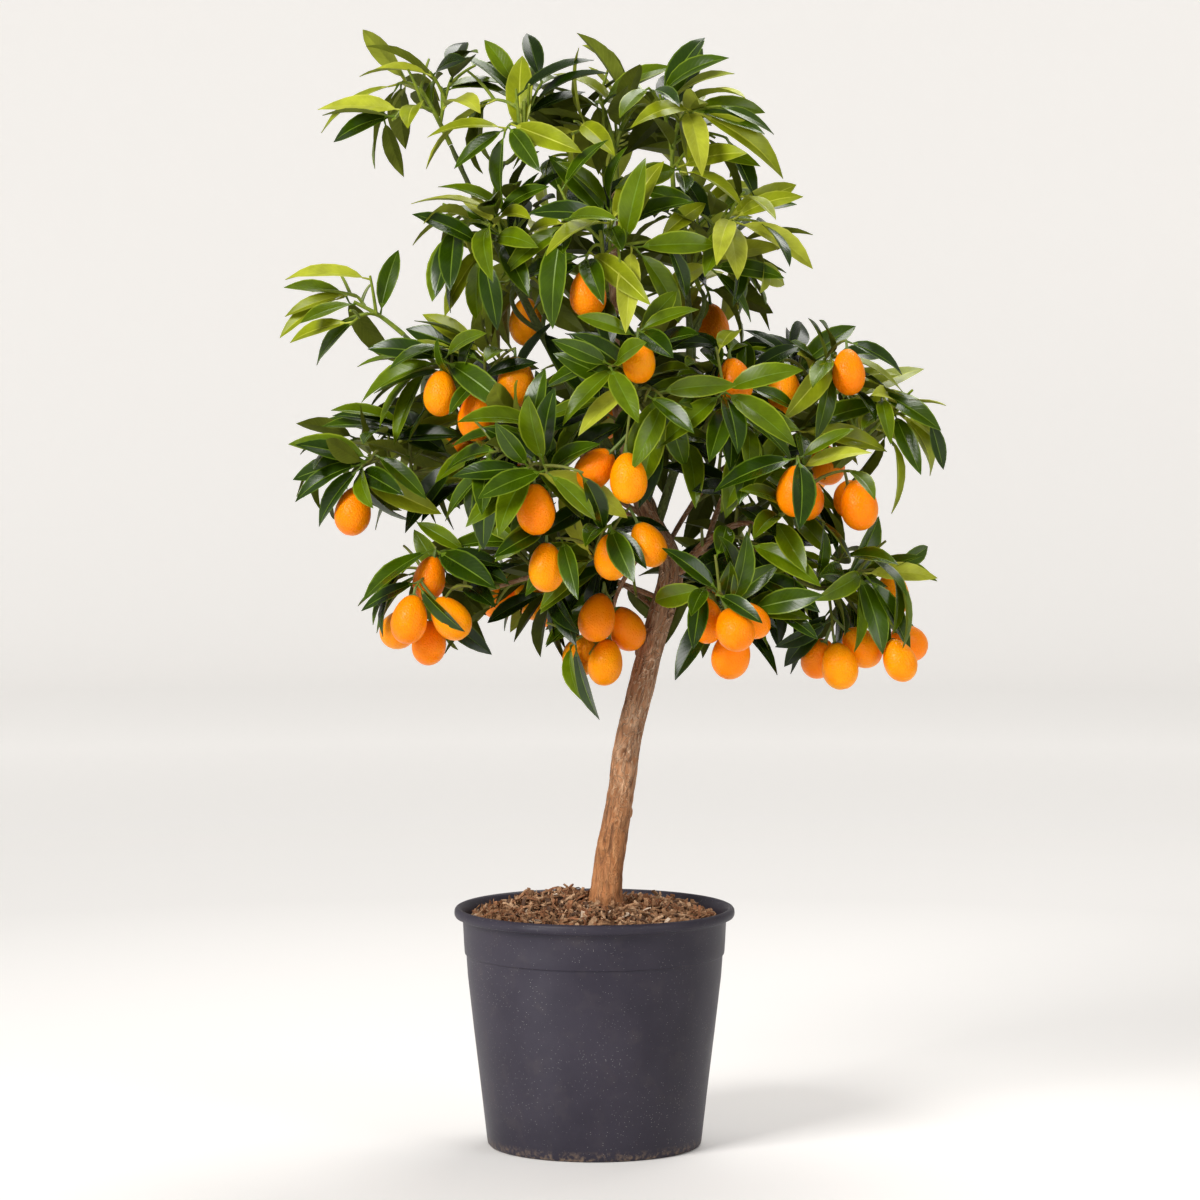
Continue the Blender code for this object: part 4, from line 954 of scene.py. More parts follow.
def fill_mass(grown, near):
    """More leaves for one mass, on its stem, its shoots and new side twigs."""
    mass = grown.mass
    twigs = [twig for twig in side_twigs(mass, grown.shoots) if has_room(tube_outline(twig, 3), near)]
    inner = [twig for twig in bough_twigs(mass) if has_room(tube_outline(twig._replace(
        points=twig.points[2:], radii=twig.radii[2:]), 3), near)]
    windows = [tree_of(fruit_outline(fruit, *FRUIT_WINDOW)) for fruit in grown.fruits]
    places = [(grown.stem, 0.2, 2)] + [(shoot, 0.15, 0) for shoot in grown.shoots]
    places += [(twig, 0.45, 0) for twig in grown.fruit_twigs] + [(twig, 0.3, 3) for twig in twigs]
    inner_from = len(places)
    places += [(twig, 0.3, 3) for twig in inner]
    standing = []
    leaves = []
    for number, (twig, first, whorl) in enumerate(places):
        draw = random.Random(f"{mass.name} fine leaves {number}")
        for foot, tangent, angle in fine_places(twig, first, whorl):
            traits = leaf_traits(mass, draw, SHOOT_LEAF_ANGLE)
            size = draw.uniform(*FINE_LENGTH_SHARE)
            if draw.random() > OPEN.get(mass.name, OPEN_ELSEWHERE):
                continue
            for turn, scale in FINE_TRIES:
                leaf = aim_leaf(traits, foot, tangent, angle + turn, scale * size)
                leaf = leaf._replace(width=leaf.width * REAL_WIDTH[leaf.young])
                middle = leaf_point(leaf, 0.5, 0, 0)
                outline = leaf_outline(leaf)
                close = [tree for tree, place, reach in standing
                         if (place - middle).length < reach + leaf.length / 2]
                within = inside_crown(outline[0]) if number >= inner_from else in_space(mass, outline[0])
                if within and not in_gap(outline[0]) and has_room(outline, near + windows + close):
                    standing.append((tree_of(outline), middle, leaf.length / 2))
                    leaves.append((leaf, 10 + number))
                    break
    return twigs + inner, leaves


fine = []
for grown in crown:
    near = limb_trees + [tree for tree, other in zip(leaf_trees, crown) if apart(grown.mass, other.mass) < 1]
    near += [tree for tree, other in zip(wood_trees, crown)
             if other is not grown and apart(grown.mass, other.mass) < 1]
    fine.append(fill_mass(grown, near))
print("second pass:", sum(len(leaves) for _, leaves in fine), "leaves on",
      sum(len(twigs) for twigs, _ in fine), "side twigs")

# %% [markdown]
# ## From one modelled shape to many
#
# A leaf, a fruit or a twig could be an instance on a curve, but instances are lost when a model is
# exported. So each shape is modelled once, its vertices are read into an array, every copy is bent into
# place by a function, and the copies are joined into one mesh.

# %% Read a modelled shape, and join its bent copies
Template = namedtuple("Template", "points faces parts chart")


def read_template(made):
    """The vertices, faces, material numbers and flat chart of a modelled shape, which is then removed."""
    mesh = made.data
    points = np.zeros(len(mesh.vertices) * 3)
    mesh.vertices.foreach_get("co", points)
    chart = points.copy()
    if "chart" in mesh.attributes:
        mesh.attributes["chart"].data.foreach_get("vector", chart)
    faces = [tuple(face.vertices) for face in mesh.polygons]
    parts = [face.material_index for face in mesh.polygons]
    bpy.data.objects.remove(made)
    return Template(points.reshape(-1, 3), faces, parts, chart.reshape(-1, 3)[:, :2])


def smooth_by_angle(made, degrees):
    select_only(made)
    bpy.ops.object.shade_smooth_by_angle(angle=math.radians(degrees))
    made.select_set(False)


def join_copies(name, copies, materials, sharp_angle):
    """One mesh from (template, placed points, slot of each part) copies. Every corner also gets its place
    on the template's chart, as a UV map called flat."""
    verts, faces, slots, flat = [], [], [], []
    base = 0
    for template, placed, part_slots in copies:
        verts.append(placed)
        faces += [tuple(base + index for index in face) for face in template.faces]
        slots += [part_slots[part] for part in template.parts]
        flat.append(np.concatenate([template.chart[list(face)] for face in template.faces]))
        base += len(placed)
    mesh = bpy.data.meshes.new(name)
    mesh.from_pydata(np.concatenate(verts).tolist(), [], faces)
    mesh.polygons.foreach_set("material_index", slots)
    mesh.uv_layers.new(name="flat").data.foreach_set("uv", np.concatenate(flat).ravel())
    for material in materials:
        mesh.materials.append(material)
    made = bpy.data.objects.new(name, mesh)
    bpy.context.scene.collection.objects.link(made)
    smooth_by_angle(made, sharp_angle)
    mesh.calc_loop_triangles()
    print(name, "copies:", len(copies), "triangles:", len(mesh.loop_triangles))
    return made


# %% [markdown]
# ## Trunk and boughs
#
# The bark of a young kumquat is thin and tan, wrinkled lengthwise in fine wavy ridges, with round knots
# where twigs were cut, and smoother and redder near the soil. Image displacement would do it, but a real
# relief keeps its outline, so each limb is a copy of one long tube that follows the limb, and every vertex
# is moved out or in by layered noise. The grain has to run along the limb, whichever way that bends, so
# each vertex also keeps its place as if the limb were straight, in an attribute called grain.

# %% A plain tube to bend: a cylinder whose sides are cut into rings
def tube_template(sides, rings):
    """A unit tube. Its sides are cut in two passes, because one cut gives at most a hundred rings."""
    made = add_primitive("tube", bpy.ops.mesh.primitive_cylinder_add, vertices=sides, radius=1, depth=1)
    passes = math.ceil(rings / 100)
    for cuts in (rings // passes - 1, passes - 1):
        pick(made, "EDGE", lambda edge: abs(made.data.vertices[edge.vertices[0]].co.z
                                            - made.data.vertices[edge.vertices[1]].co.z) > 1e-4)
        if cuts:
            bpy.ops.mesh.subdivide(number_cuts=cuts)
        done()
    for vert in made.data.vertices:
        vert.co.z += 0.5
    return read_template(made)


def smoothed(limb, parts):
    """The limb with its bends rounded: a Catmull-Rom curve through its points."""
    ends = [limb.points[0] * 2 - limb.points[1], *limb.points, limb.points[-1] * 2 - limb.points[-2]]
    points, radii = [], []
    for index in range(len(limb.points) - 1):
        a, b, c, d = ends[index:index + 4]
        for part in range(parts):
            t = part / parts
            points.append(((b * 2) + (c - a) * t + (a * 2 - b * 5 + c * 4 - d) * t ** 2
                           + (b * 3 - a - c * 3 + d) * t ** 3) / 2)
            radii.append(limb.radii[index] + (limb.radii[index + 1] - limb.radii[index]) * t)
    return Limb(limb.name, [*points, limb.points[-1]], [*radii, limb.radii[-1]])


def frames_along(limb):
    """Distance, side and across directions at each point, carried along the limb without twist."""
    tangents = [(limb.points[min(i + 1, len(limb.points) - 1)] - limb.points[max(i - 1, 0)]).normalized()
                for i in range(len(limb.points))]
    side = square_to(tangents[0], 0.0)
    sides = []
    for tangent in tangents:
        side = (side - tangent * side.dot(tangent)).normalized()
        sides.append(side)
    acrosses = [tangent.cross(side) for tangent, side in zip(tangents, sides)]
    steps = [(b - a).length for a, b in zip(limb.points, limb.points[1:])]
    return np.concatenate([[0.0], np.cumsum(steps)]), np.array(sides), np.array(acrosses)


def lay_tube(template, limb):
    """A tube's vertices laid along a limb. Gives the places, the outward directions and the grain."""
    distance, sides, acrosses = frames_along(limb)
    length = distance[-1]
    wanted = template.points[:, 2] * length
    def at(values):
        return np.stack([np.interp(wanted, distance, column) for column in np.array(values).T], axis=1)
    out = at(sides) * template.points[:, :1] + at(acrosses) * template.points[:, 1:2]
    radius = np.interp(wanted, distance, limb.radii)
    centre = at([tuple(point) for point in limb.points])
    grain = np.stack([template.points[:, 0] * radius, template.points[:, 1] * radius, wanted], axis=1)
    return centre + out * radius[:, None], out, grain


# %% Bark relief
KNOT_STEP = 0.034
KNOT_HEIGHT = 0.0021
KNOT_SIZE = 0.0062
WRINKLE = 0.0006
SWELL = 0.0024
SUNK = 0.0008
FRONT_KNOTS = ((0.338, -0.35, 1.3), (0.278, 0.15, 0.6), (0.425, 0.35, 0.9))
TRUNK_SIDES, BOUGH_SIDES = 80, 14
TRUNK_RING, BOUGH_RING = 0.0012, 0.004
FOOT_LUMPS, FOOT_LUMPS_HEIGHT = 0.0035, 0.012
FOOT_FLARE, FOOT_FLARE_HEIGHT = 0.0014, 0.05


def knots_of(name, length, radius):
    """Where old twigs were: places on the straightened limb, by a seeded rule."""
    draw = random.Random(f"{name} knots")
    found = []
    for index in range(int(length / KNOT_STEP)):
        angle = GOLDEN_ANGLE * index + draw.uniform(-0.5, 0.5)
        along = KNOT_STEP * (index + draw.uniform(0.3, 0.9))
        found.append((math.cos(angle) * radius, math.sin(angle) * radius, along, draw.uniform(0.5, 1.15)))
    return found


def bark_height(place, radius, knots):
    """How far the bark stands out at a place on the straightened limb, and how pale it is there."""
    x, y, along = place
    grown = min(1.0, radius / 0.011)
    wave = noise.noise(Vector((x * 55, y * 55, along * 20)))
    fine = noise.noise(Vector((x * 420 + wave * 3, y * 420, along * 95 + wave * 2)))
    ridge = 1 - abs(noise.noise(Vector((x * 300 + wave * 4, y * 300, along * 55 + 7)))) * 2.4
    height = SWELL * wave + WRINKLE * (0.8 * max(0.0, ridge) + 0.6 * fine) - SUNK
    pale = 0.35 + 0.3 * ridge + 0.7 * fine + 0.5 * wave
    for knot_x, knot_y, knot_along, size in knots:
        gap = math.hypot(x - knot_x, y - knot_y, (along - knot_along) * 0.8) / (KNOT_SIZE * size)
        gap *= 1 + 0.5 * fine + 0.6 * wave
        if gap < 1.6:
            ring = math.exp(-((gap - 0.62) / 0.3) ** 2) - 0.55 * math.exp(-(gap / 0.3) ** 2)
            height += KNOT_HEIGHT * size * ring
            pale += 0.45 * ring
    return height * grown, pale


def foot_height(places, foot_z):
    """How far the trunk's foot stands out: lumps just over the soil, on a slight flare."""
    lumps = np.clip(1 - (places[:, 2] - foot_z) / FOOT_LUMPS_HEIGHT, 0, 1)
    lumps *= [noise.noise(Vector((p[0] * 60, p[1] * 60, 3.0))) for p in places]
    flare = np.clip(1 - (places[:, 2] - foot_z) / FOOT_FLARE_HEIGHT, 0, 1) ** 2
    return FOOT_LUMPS * lumps + FOOT_FLARE * flare


bark_verts, bark_faces, bark_grain, bark_pale, bark_slots = [], [], [], [], []
base = 0
for limb in LIMBS.values():
    main = limb.name == "trunk"
    round_limb = smoothed(limb, 8 if main else 6)
    length = limb_length(round_limb)
    template = tube_template(TRUNK_SIDES if main else BOUGH_SIDES,
                             int(length / (TRUNK_RING if main else BOUGH_RING)))
    places, out, grain = lay_tube(template, round_limb)
    mean_radius = sum(limb.radii) / len(limb.radii)
    knots = knots_of(limb.name, length, mean_radius)
    if main:
        for height, sideways, size in FRONT_KNOTS:
            facing = np.array(Vector((sideways, -1.0, 0.0)).normalized())
            nearest = np.argmin(np.abs(places[:, 2] - height) / 0.01 - out @ facing)
            knots.append((*grain[nearest], size))
    radii = np.hypot(grain[:, 0], grain[:, 1])
    lift, pale = np.array([bark_height(place, radius, knots) for place, radius in zip(grain, radii)]).T
    if main:
        foot_z = limb.points[0].z
        lift += foot_height(places, foot_z)
        lift[places[:, 2] < foot_z + 0.0004] = 0.0
    places = places + out * lift[:, None]
    bark_verts.append(places)
    bark_grain.append(grain)
    bark_pale.append(pale)
    bark_faces += [tuple(base + index for index in face) for face in template.faces]
    slot = 0 if main or limb.name[6:] not in GREEN_WOOD else 1
    bark_slots += [slot] * len(template.faces)
    base += len(places)

bark_mesh = bpy.data.meshes.new("bark")
bark_mesh.from_pydata(np.concatenate(bark_verts).tolist(), [], bark_faces)
bark_mesh.polygons.foreach_set("material_index", bark_slots)
layer = bark_mesh.attributes.new("grain", "FLOAT_VECTOR", "POINT")
layer.data.foreach_set("vector", np.concatenate(bark_grain).ravel())
layer = bark_mesh.attributes.new("pale", "FLOAT", "POINT")
layer.data.foreach_set("value", np.clip(np.concatenate(bark_pale), 0, 1))
bark_mesh.shade_smooth()
trunk_and_boughs = bpy.data.objects.new("trunk_and_boughs", bark_mesh)
bpy.context.scene.collection.objects.link(trunk_and_boughs)
bark_mesh.calc_loop_triangles()
print("bark triangles:", len(bark_mesh.loop_triangles))

# %% [markdown]
# The wood's colour follows the grain too: pale ridges on tan, dark threads in the wrinkles, a greyer cast
# higher up and a redder one near the soil. Young boughs are still green.

# %% Grain: threads along the limb
def along_grain(group, ins, **values):
    """Noise that is drawn out along the limb."""
    place = add_node(group, "ShaderNodeAttribute", attribute_name="grain").outputs["Vector"]
    stretch = add_node(group, "ShaderNodeCombineXYZ", {0: ins["Across"], 1: ins["Across"], 2: ins["Along"]})
    drawn = add_node(group, "ShaderNodeVectorMath", {0: place, 1: stretch.outputs[0]}, operation="MULTIPLY")
    values = {"Vector": drawn.outputs[0], "Scale": 1.0, **values}
    return add_node(group, "ShaderNodeTexNoise", values).outputs[0]


grain_group, ins = new_group("grain", {"Across": 420.0, "Along": 60.0, "Low": 0.42, "High": 0.62})
threads = along_grain(grain_group, ins, Detail=4.0, Roughness=0.6, Distortion=0.8)
give_value(grain_group, ramp(grain_group, threads, ins["Low"], ins["High"]))

# %% Curls: thin winding lines, as old bark has, that close round knots and swellings
curls, ins = new_group("curls", {"Across": 130.0, "Along": 55.0, "Lines": 12.0, "Thin": 0.2})
clouds = along_grain(curls, ins, Detail=2.0, Roughness=0.45, Distortion=0.5)
fold_back = maths(curls, "PINGPONG", maths(curls, "MULTIPLY", clouds, ins["Lines"]), 0.5)
give_value(curls, ramp(curls, fold_back, ins["Thin"], 0.0))


# %% Finishes of wood
def wood_finish(name, base_colour, pale, dark, high_colour, high_pale, roughness):
    """Bark: broad colour by height, pale curls and ridges, and dark threads along the grain."""
    material, tree, shader = new_finish(name, base_colour, roughness, Specular_IOR_Level=0.3)
    height = height_in(tree)
    rise = ramp(tree, height, 0.26, 0.36)
    tone = mix_colour(tree, rise, base_colour, high_colour)
    light = mix_colour(tree, rise, pale, high_pale)
    patches = place_group(tree, mottle, Scale=60.0, Low=0.40, High=0.75)
    tone = mix_colour(tree, maths(tree, "MULTIPLY", patches, 0.8), tone,
                      [part * 0.60 for part in base_colour])
    stands = add_node(tree, "ShaderNodeAttribute", attribute_name="pale").outputs["Fac"]
    tone = mix_colour(tree, ramp(tree, stands, 0.45, 1.0, 0.0, 0.35), tone, light)
    tone = mix_colour(tree, ramp(tree, stands, 0.30, 0.0, 0.0, 0.65), tone, dark)
    fibres = place_group(tree, grain_group, Across=560.0, Along=60.0, Low=0.52, High=0.66)
    tone = mix_colour(tree, maths(tree, "MULTIPLY", fibres, 0.45), tone, light)
    winding = place_group(tree, curls, Across=110.0, Along=50.0, Lines=9.0, Thin=0.17)
    lines = maths(tree, "MULTIPLY", winding, ramp(tree, height, 0.26, 0.34, 0.40, 1.0))
    tone = mix_colour(tree, lines, tone, light)
    threads = place_group(tree, grain_group, Across=300.0, Along=48.0, Low=0.54, High=0.61)
    tone = mix_colour(tree, maths(tree, "MULTIPLY", threads, 0.62), tone, dark)
    tree.links.new(tone, shader.inputs["Base Color"])
    relief = maths(tree, "ADD", maths(tree, "MULTIPLY", fibres, 0.5), lines)
    bump_from(tree, shader, relief, 1.0, 0.0012)
    return material


bark = wood_finish("bark", (0.385, 0.150, 0.050), (0.58, 0.290, 0.125), (0.085, 0.034, 0.014),
                   (0.360, 0.178, 0.084), (0.70, 0.490, 0.330), 0.72)
green_bark = wood_finish("green bark", (0.115, 0.135, 0.028), (0.19, 0.21, 0.060),
                         (0.055, 0.070, 0.015), (0.105, 0.140, 0.028), (0.17, 0.21, 0.055), 0.50)
bark_mesh.materials.append(bark)
bark_mesh.materials.append(green_bark)
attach(trunk_and_boughs, "root")
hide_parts(*LIMBS)

# %% [markdown]
# ## Twigs
#
# The green twigs are the same plain tube with fewer sides, one copy for each stem, shoot and side twig.
# They are smooth and slightly glossy, greener at the top of the crown and browner lower down.

# %% Twigs of the whole crown
twig_tube = tube_template(7, 8)
STREAKS = {"Scale": 160.0, "Low": 0.4, "High": 0.7}
young_stem, _, _ = patchy_finish("young stem", (0.215, 0.270, 0.022), (0.110, 0.165, 0.014), 0.42, STREAKS,
                                 Specular_IOR_Level=0.2)
old_stem, _, _ = patchy_finish("older stem", (0.170, 0.200, 0.026), (0.120, 0.120, 0.030), 0.50, STREAKS,
                               Specular_IOR_Level=0.2)

TWIG_THICKER = 1.18
copies = []
for grown, (more, _) in zip(crown, fine):
    slot = [0] if grown.mass.name in GREEN_WOOD else [1]
    stem = smoothed(grown.stem, 5)
    for twig in [stem, *grown.shoots, *grown.fruit_twigs, *more]:
        thick = twig._replace(radii=[radius * TWIG_THICKER for radius in twig.radii])
        copies.append((twig_tube, lay_tube(twig_tube, thick)[0], slot))
twigs = join_copies("twigs", copies, [young_stem, old_stem], 60)
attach(twigs, "root")

# %% [markdown]
# ## Leaves
#
# A kumquat leaf is a pointed ellipse about three times as long as wide, folded a little along its pale
# midrib, with a wavy edge. The upper face is a grid of five strips by eight rows, and the middle strip is
# the rib. Each row is scaled to the leaf's outline. A second, simpler grid closes the blade from below.
# The two meet in a thin edge, as on a real leaf.

# %% Model the flat leaf
LEAF_ROWS = ((0.0, 0.03), (0.09, 0.42), (0.22, 0.78), (0.37, 0.97), (0.52, 1.0), (0.67, 0.87), (0.81, 0.60),
             (0.92, 0.28), (1.0, 0.01))
LEAF_COLUMNS = (-1.0, -0.58, -0.05, 0.05, 0.58, 1.0)
BLADE_LIFT = {0.58: 0.6, 0.05: 1.0}


def blade_sheet(columns, lift):
    """A grid whose rows are scaled to the leaf's outline, raised between its edges."""
    steps_x, steps_y = len(columns) - 1, len(LEAF_ROWS) - 1
    made = add_primitive("blade", bpy.ops.mesh.primitive_grid_add, x_subdivisions=steps_x,
                         y_subdivisions=steps_y, size=2)
    chart = made.data.attributes.new("chart", "FLOAT_VECTOR", "POINT")
    for index, vert in enumerate(made.data.vertices):
        column = columns[round((vert.co.x + 1) / 2 * steps_x)]
        row = round((vert.co.y + 1) / 2 * steps_y)
        vert.co = (column, LEAF_ROWS[row][0], lift(abs(column)))
        chart.data[index].vector = vert.co
    for along, width in LEAF_ROWS:
        pick(made, "VERT", lambda vert: abs(vert.co.y - along) < 1e-4)
        bpy.ops.transform.resize(value=(width, 1, 1), center_override=(0, along, 0))
        bpy.ops.object.mode_set(mode="OBJECT")
    done()
    return made


upper = blade_sheet(LEAF_COLUMNS, lambda side: BLADE_LIFT.get(round(side, 3), 0.0))
under = blade_sheet((-1.0, 0.0, 1.0), lambda side: 0.0 if side > 0.5 else -1.0)
select_only(upper)
under.select_set(True)
bpy.ops.object.join()
pick(upper, "VERT", lambda vert: True)
bpy.ops.mesh.remove_doubles(threshold=0.004)
bpy.ops.mesh.normals_make_consistent(inside=False)
done()
for face in upper.data.polygons:
    corners = [upper.data.vertices[v].co for v in face.vertices]
    middle = sum(abs(corner.x) for corner in corners) / len(corners)
    row = sum(corner.y for corner in corners) / len(corners)
    below = min(corner.z for corner in corners) < -0.5
    face.material_index = 1 if below else 2 if middle < 0.08 and row < 0.9 else 0
blade = read_template(upper)
print("leaf parts:", {part: blade.parts.count(part) for part in (0, 1, 2)})
print("leaf faces:", len(blade.faces), "vertices:", len(blade.points))

# %% Bend one leaf into place
STALK_SHARE = 0.10
BLADE_THICKNESS = 0.0007
WAVE = {False: 0.07, True: 0.11}
DROOP = {False: (0.00, 0.04), True: (0.00, 0.08)}
CURL = {False: (0.00, 0.13), True: (0.00, 0.13)}
TWIST = {False: 0.35, True: 0.50}
SWAY = 0.10
LIGHT_WAY = Vector((-0.15, -0.75, 0.65))
MOST_TURN = {"left_sprig": 2.6, "right_outer": 2.2}
LITTLE_TURN = 0.2
LOWEST_YOUNG = -0.10
LEAF_EASING = ((1.0, 1.0), (0.4, 1.0), (0.0, 1.0), (0.0, 0.92), (0.0, 0.84), (0.0, 0.75), (0.0, 0.65))
BOX_LOW, BOX_HIGH = np.array(frame_box[0]), np.array(frame_box[1])


def turned_to_light(leaf, most):
    """The leaf with its upper face turned a little more to the light, round its rib, by no more than most.
    A young leaf hangs less steeply than an old one."""
    if leaf.young and leaf.along.z < LOWEST_YOUNG:
        along = leaf.along.copy()
        along.z = LOWEST_YOUNG + 0.35 * (along.z - LOWEST_YOUNG)
        along.normalize()
        leaf = leaf._replace(along=along, up=(leaf.up - along * leaf.up.dot(along)).normalized())
    wanted = LIGHT_WAY - leaf.along * LIGHT_WAY.dot(leaf.along)
    most *= min(1.0, max(0.0, 0.5 - leaf.foot.y / WINDOW_DEPTH))
    if wanted.length < 0.2:
        return leaf
    angle = leaf.up.angle(wanted)
    share = min(1.0, most / angle) if 1e-6 < angle < 2.6 else 0.0
    return leaf._replace(up=leaf.up.slerp(wanted.normalized(), share)) if share else leaf


def rib_frame(leaf, share, droop, sway, curl):
    """Places on the rib, and the blade's upward direction there."""
    turned = leaf.arch * share
    along, up = np.array(leaf.along), np.array(leaf.up)
    across = np.cross(along, up)
    forward = np.outer(np.sin(turned), along) / leaf.arch - np.outer(1 - np.cos(turned), up) / leaf.arch
    forward += np.outer(sway * share ** 2, across) - np.outer(droop * share ** 3, (0.0, 0.0, 1.0))
    forward -= np.outer(curl * share ** 3, up)
    bend = turned + 3 * curl * share ** 2
    normal = np.outer(np.cos(bend), up) + np.outer(np.sin(bend), along)
    return np.array(leaf.foot) + forward * leaf.length, normal, across


def lay_leaf(leaf, draw, calm):
    """The blade's and the stalk's vertices, bent along the arched rib, folded, waved and twisted. A calm
    of 1 gives the full bends, and less gives gentler ones."""
    droop = draw.uniform(*DROOP[leaf.young]) * calm
    sway = draw.uniform(-SWAY, SWAY) * calm
    curl = draw.uniform(*CURL[leaf.young]) * calm
    twist = draw.uniform(-1, 1) * TWIST[leaf.young] * calm
    wave = WAVE[leaf.young] * draw.uniform(0.3, 1.0)
    waves = draw.uniform(0.8, 1.5)
    phase = draw.uniform(0, 6.28)
    side, along, lift = blade.points.T
    share = STALK_SHARE + (1 - STALK_SHARE) * along
    rib, normal, across = rib_frame(leaf, share, droop, sway, curl)
    turn = (twist * along)[:, None]
    flat = across * np.cos(turn) + normal * np.sin(turn)
    raised = normal * np.cos(turn) - across * np.sin(turn)
    fold = 0.08 + leaf.fold * (1.10 - 0.35 * along)
    out = side * leaf.width
    edge = np.abs(blade.chart[:, 0])
    rise = np.abs(out) * np.sin(fold) * (1.15 - 0.3 * edge)
    rise += leaf.width * wave * np.sin(6.28 * waves * along + phase + np.sign(side) * 0.9) * edge ** 2 \
        * np.sin(np.pi * np.clip(along, 0, 1))
    rise += lift * BLADE_THICKNESS / 2
    places = rib + flat * (out * np.cos(fold))[:, None] + raised * rise[:, None]
    steps = np.linspace(0.0, STALK_SHARE * 1.08, 5)
    stalk_line, _, _ = rib_frame(leaf, steps, droop, sway, curl)
    stalk = Limb("stalk", [Vector(point) for point in stalk_line], taper(0.00115, 0.00075, 4))
    return places, lay_tube(stalk_tube, stalk)[0]


def lay_within(leaf, seed, most):
    """The leaf as laid, or a gentler or smaller one where it would reach out of the frame's box."""
    for calm, size in LEAF_EASING:
        eased = turned_to_light(leaf, most)._replace(length=leaf.length * size, width=leaf.width * size)
        places, stalk = lay_leaf(eased, random.Random(seed), calm)
        if (places >= BOX_LOW).all() and (places <= BOX_HIGH).all():
            return places, stalk
    return None


stalk_tube = tube_template(5, 3)

# %% [markdown]
# Old leaves are dark and glossy, young ones yellow-green, and all are paler and dull underneath. Every
# spray draws one tint and most of its leaves share it, as on a real shoot. The tints are plain colours, and
# over them lie faint side veins that follow the leaf, soft mottling, and a thin pale edge. Most leaves on
# the side of their mass towards the middle of the crown take darker tints instead, as painted shade.

# %% Veins that follow the leaf, and a pale edge
def flat_place(group):
    """The place on the flat leaf: how far from the rib, and how far along."""
    chart = add_node(group, "ShaderNodeUVMap", uv_map="flat")
    parts = add_node(group, "ShaderNodeSeparateXYZ", {0: chart.outputs[0]})
    return maths(group, "ABSOLUTE", parts.outputs["X"]), parts.outputs["Y"]


veins, ins = new_group("veins", {"Count": 26.0, "Slant": 5.0})
side, along = flat_place(veins)
line = maths(veins, "SUBTRACT", maths(veins, "MULTIPLY", along, ins["Count"]),
             maths(veins, "MULTIPLY", side, ins["Slant"]))
give_value(veins, ramp(veins, maths(veins, "PINGPONG", line, 1.0), 0.30, 0.0))

leaf_edge, ins = new_group("leaf edge", {"Start": 0.85, "Full": 0.93})
side, along = flat_place(leaf_edge)
give_value(leaf_edge, ramp(leaf_edge, side, ins["Start"], ins["Full"]))


# %% Leaf finishes
def leaf_finish(name, colour, pale, roughness, vein_share, edge_share, gloss):
    """A leaf face: mottled, with faint veins that also raise its surface a little, and a pale edge."""
    material, tree, shader = new_finish(name, colour, roughness, Specular_IOR_Level=gloss)
    patches = place_group(tree, mottle, Scale=48.0, Low=0.34, High=0.68)
    broad = mix_colour(tree, patches, [part * 0.76 for part in colour], [part * 1.22 for part in colour])
    lines = place_group(tree, veins)
    veined = mix_colour(tree, maths(tree, "MULTIPLY", lines, vein_share), broad, pale)
    rim = place_group(tree, leaf_edge)
    edged = mix_colour(tree, maths(tree, "MULTIPLY", rim, edge_share), veined, pale)
    tree.links.new(edged, shader.inputs["Base Color"])
    bump_from(tree, shader, lines, 0.12, 0.0003)
    return material


# The inner colours for the upper face, underside and rib are darker than the rest: painted shade for leaves
# towards the middle of the crown.
LEAF_COLOURS = {
    "inner leaf": ((0.008, 0.020, 0.0003), (0.06, 0.10, 0.006), 0.26, 0.05, 0.6, 0.22),
    "deep leaf": ((0.017, 0.040, 0.0005), (0.11, 0.18, 0.010), 0.20, 0.05, 0.75, 0.30),
    "dark leaf": ((0.037, 0.074, 0.0006), (0.18, 0.26, 0.014), 0.21, 0.05, 0.75, 0.27),
    "mid leaf": ((0.088, 0.138, 0.0010), (0.28, 0.35, 0.020), 0.25, 0.06, 0.65, 0.20),
    "fresh leaf": ((0.210, 0.248, 0.0050), (0.39, 0.42, 0.040), 0.32, 0.10, 0.5, 0.16),
    "young leaf": ((0.350, 0.378, 0.026), (0.55, 0.56, 0.090), 0.36, 0.14, 0.4, 0.13),
    "under inner leaf": ((0.050, 0.062, 0.005), (0.10, 0.12, 0.015), 0.60, 0.15, 0.1, 0.06),
    "under leaf": ((0.125, 0.152, 0.014), (0.27, 0.29, 0.050), 0.60, 0.15, 0.1, 0.08),
    "under young leaf": ((0.285, 0.320, 0.032), (0.42, 0.44, 0.070), 0.55, 0.15, 0.1, 0.10),
    "inner rib": ((0.035, 0.062, 0.003), (0.05, 0.08, 0.006), 0.40, 0.0, 0.0, 0.2),
    "leaf rib": ((0.110, 0.180, 0.010), (0.16, 0.24, 0.015), 0.35, 0.0, 0.0, 0.2),
    "young rib": ((0.400, 0.430, 0.040), (0.48, 0.50, 0.060), 0.40, 0.0, 0.0, 0.15),
}
leaf_materials = [leaf_finish(name, *values) for name, values in LEAF_COLOURS.items()]
SLOT = {name: index for index, name in enumerate(LEAF_COLOURS)}
SPRAY_TINTS = {False: (("deep leaf", 0.36), ("dark leaf", 0.42), ("mid leaf", 0.22)),
               True: (("mid leaf", 0.25), ("fresh leaf", 0.47), ("young leaf", 0.28))}
SPRAY_SHARE = 0.6
PAINTED_SHADE_SHARE = 0.85
CROWN_AXIS = (0.03, 0.01)


def draw_tint(draw, young):
    left = draw.random()
    for tint, share in SPRAY_TINTS[young]:
        left -= share
        if left < 0:
            return tint
    return SPRAY_TINTS[young][-1][0]


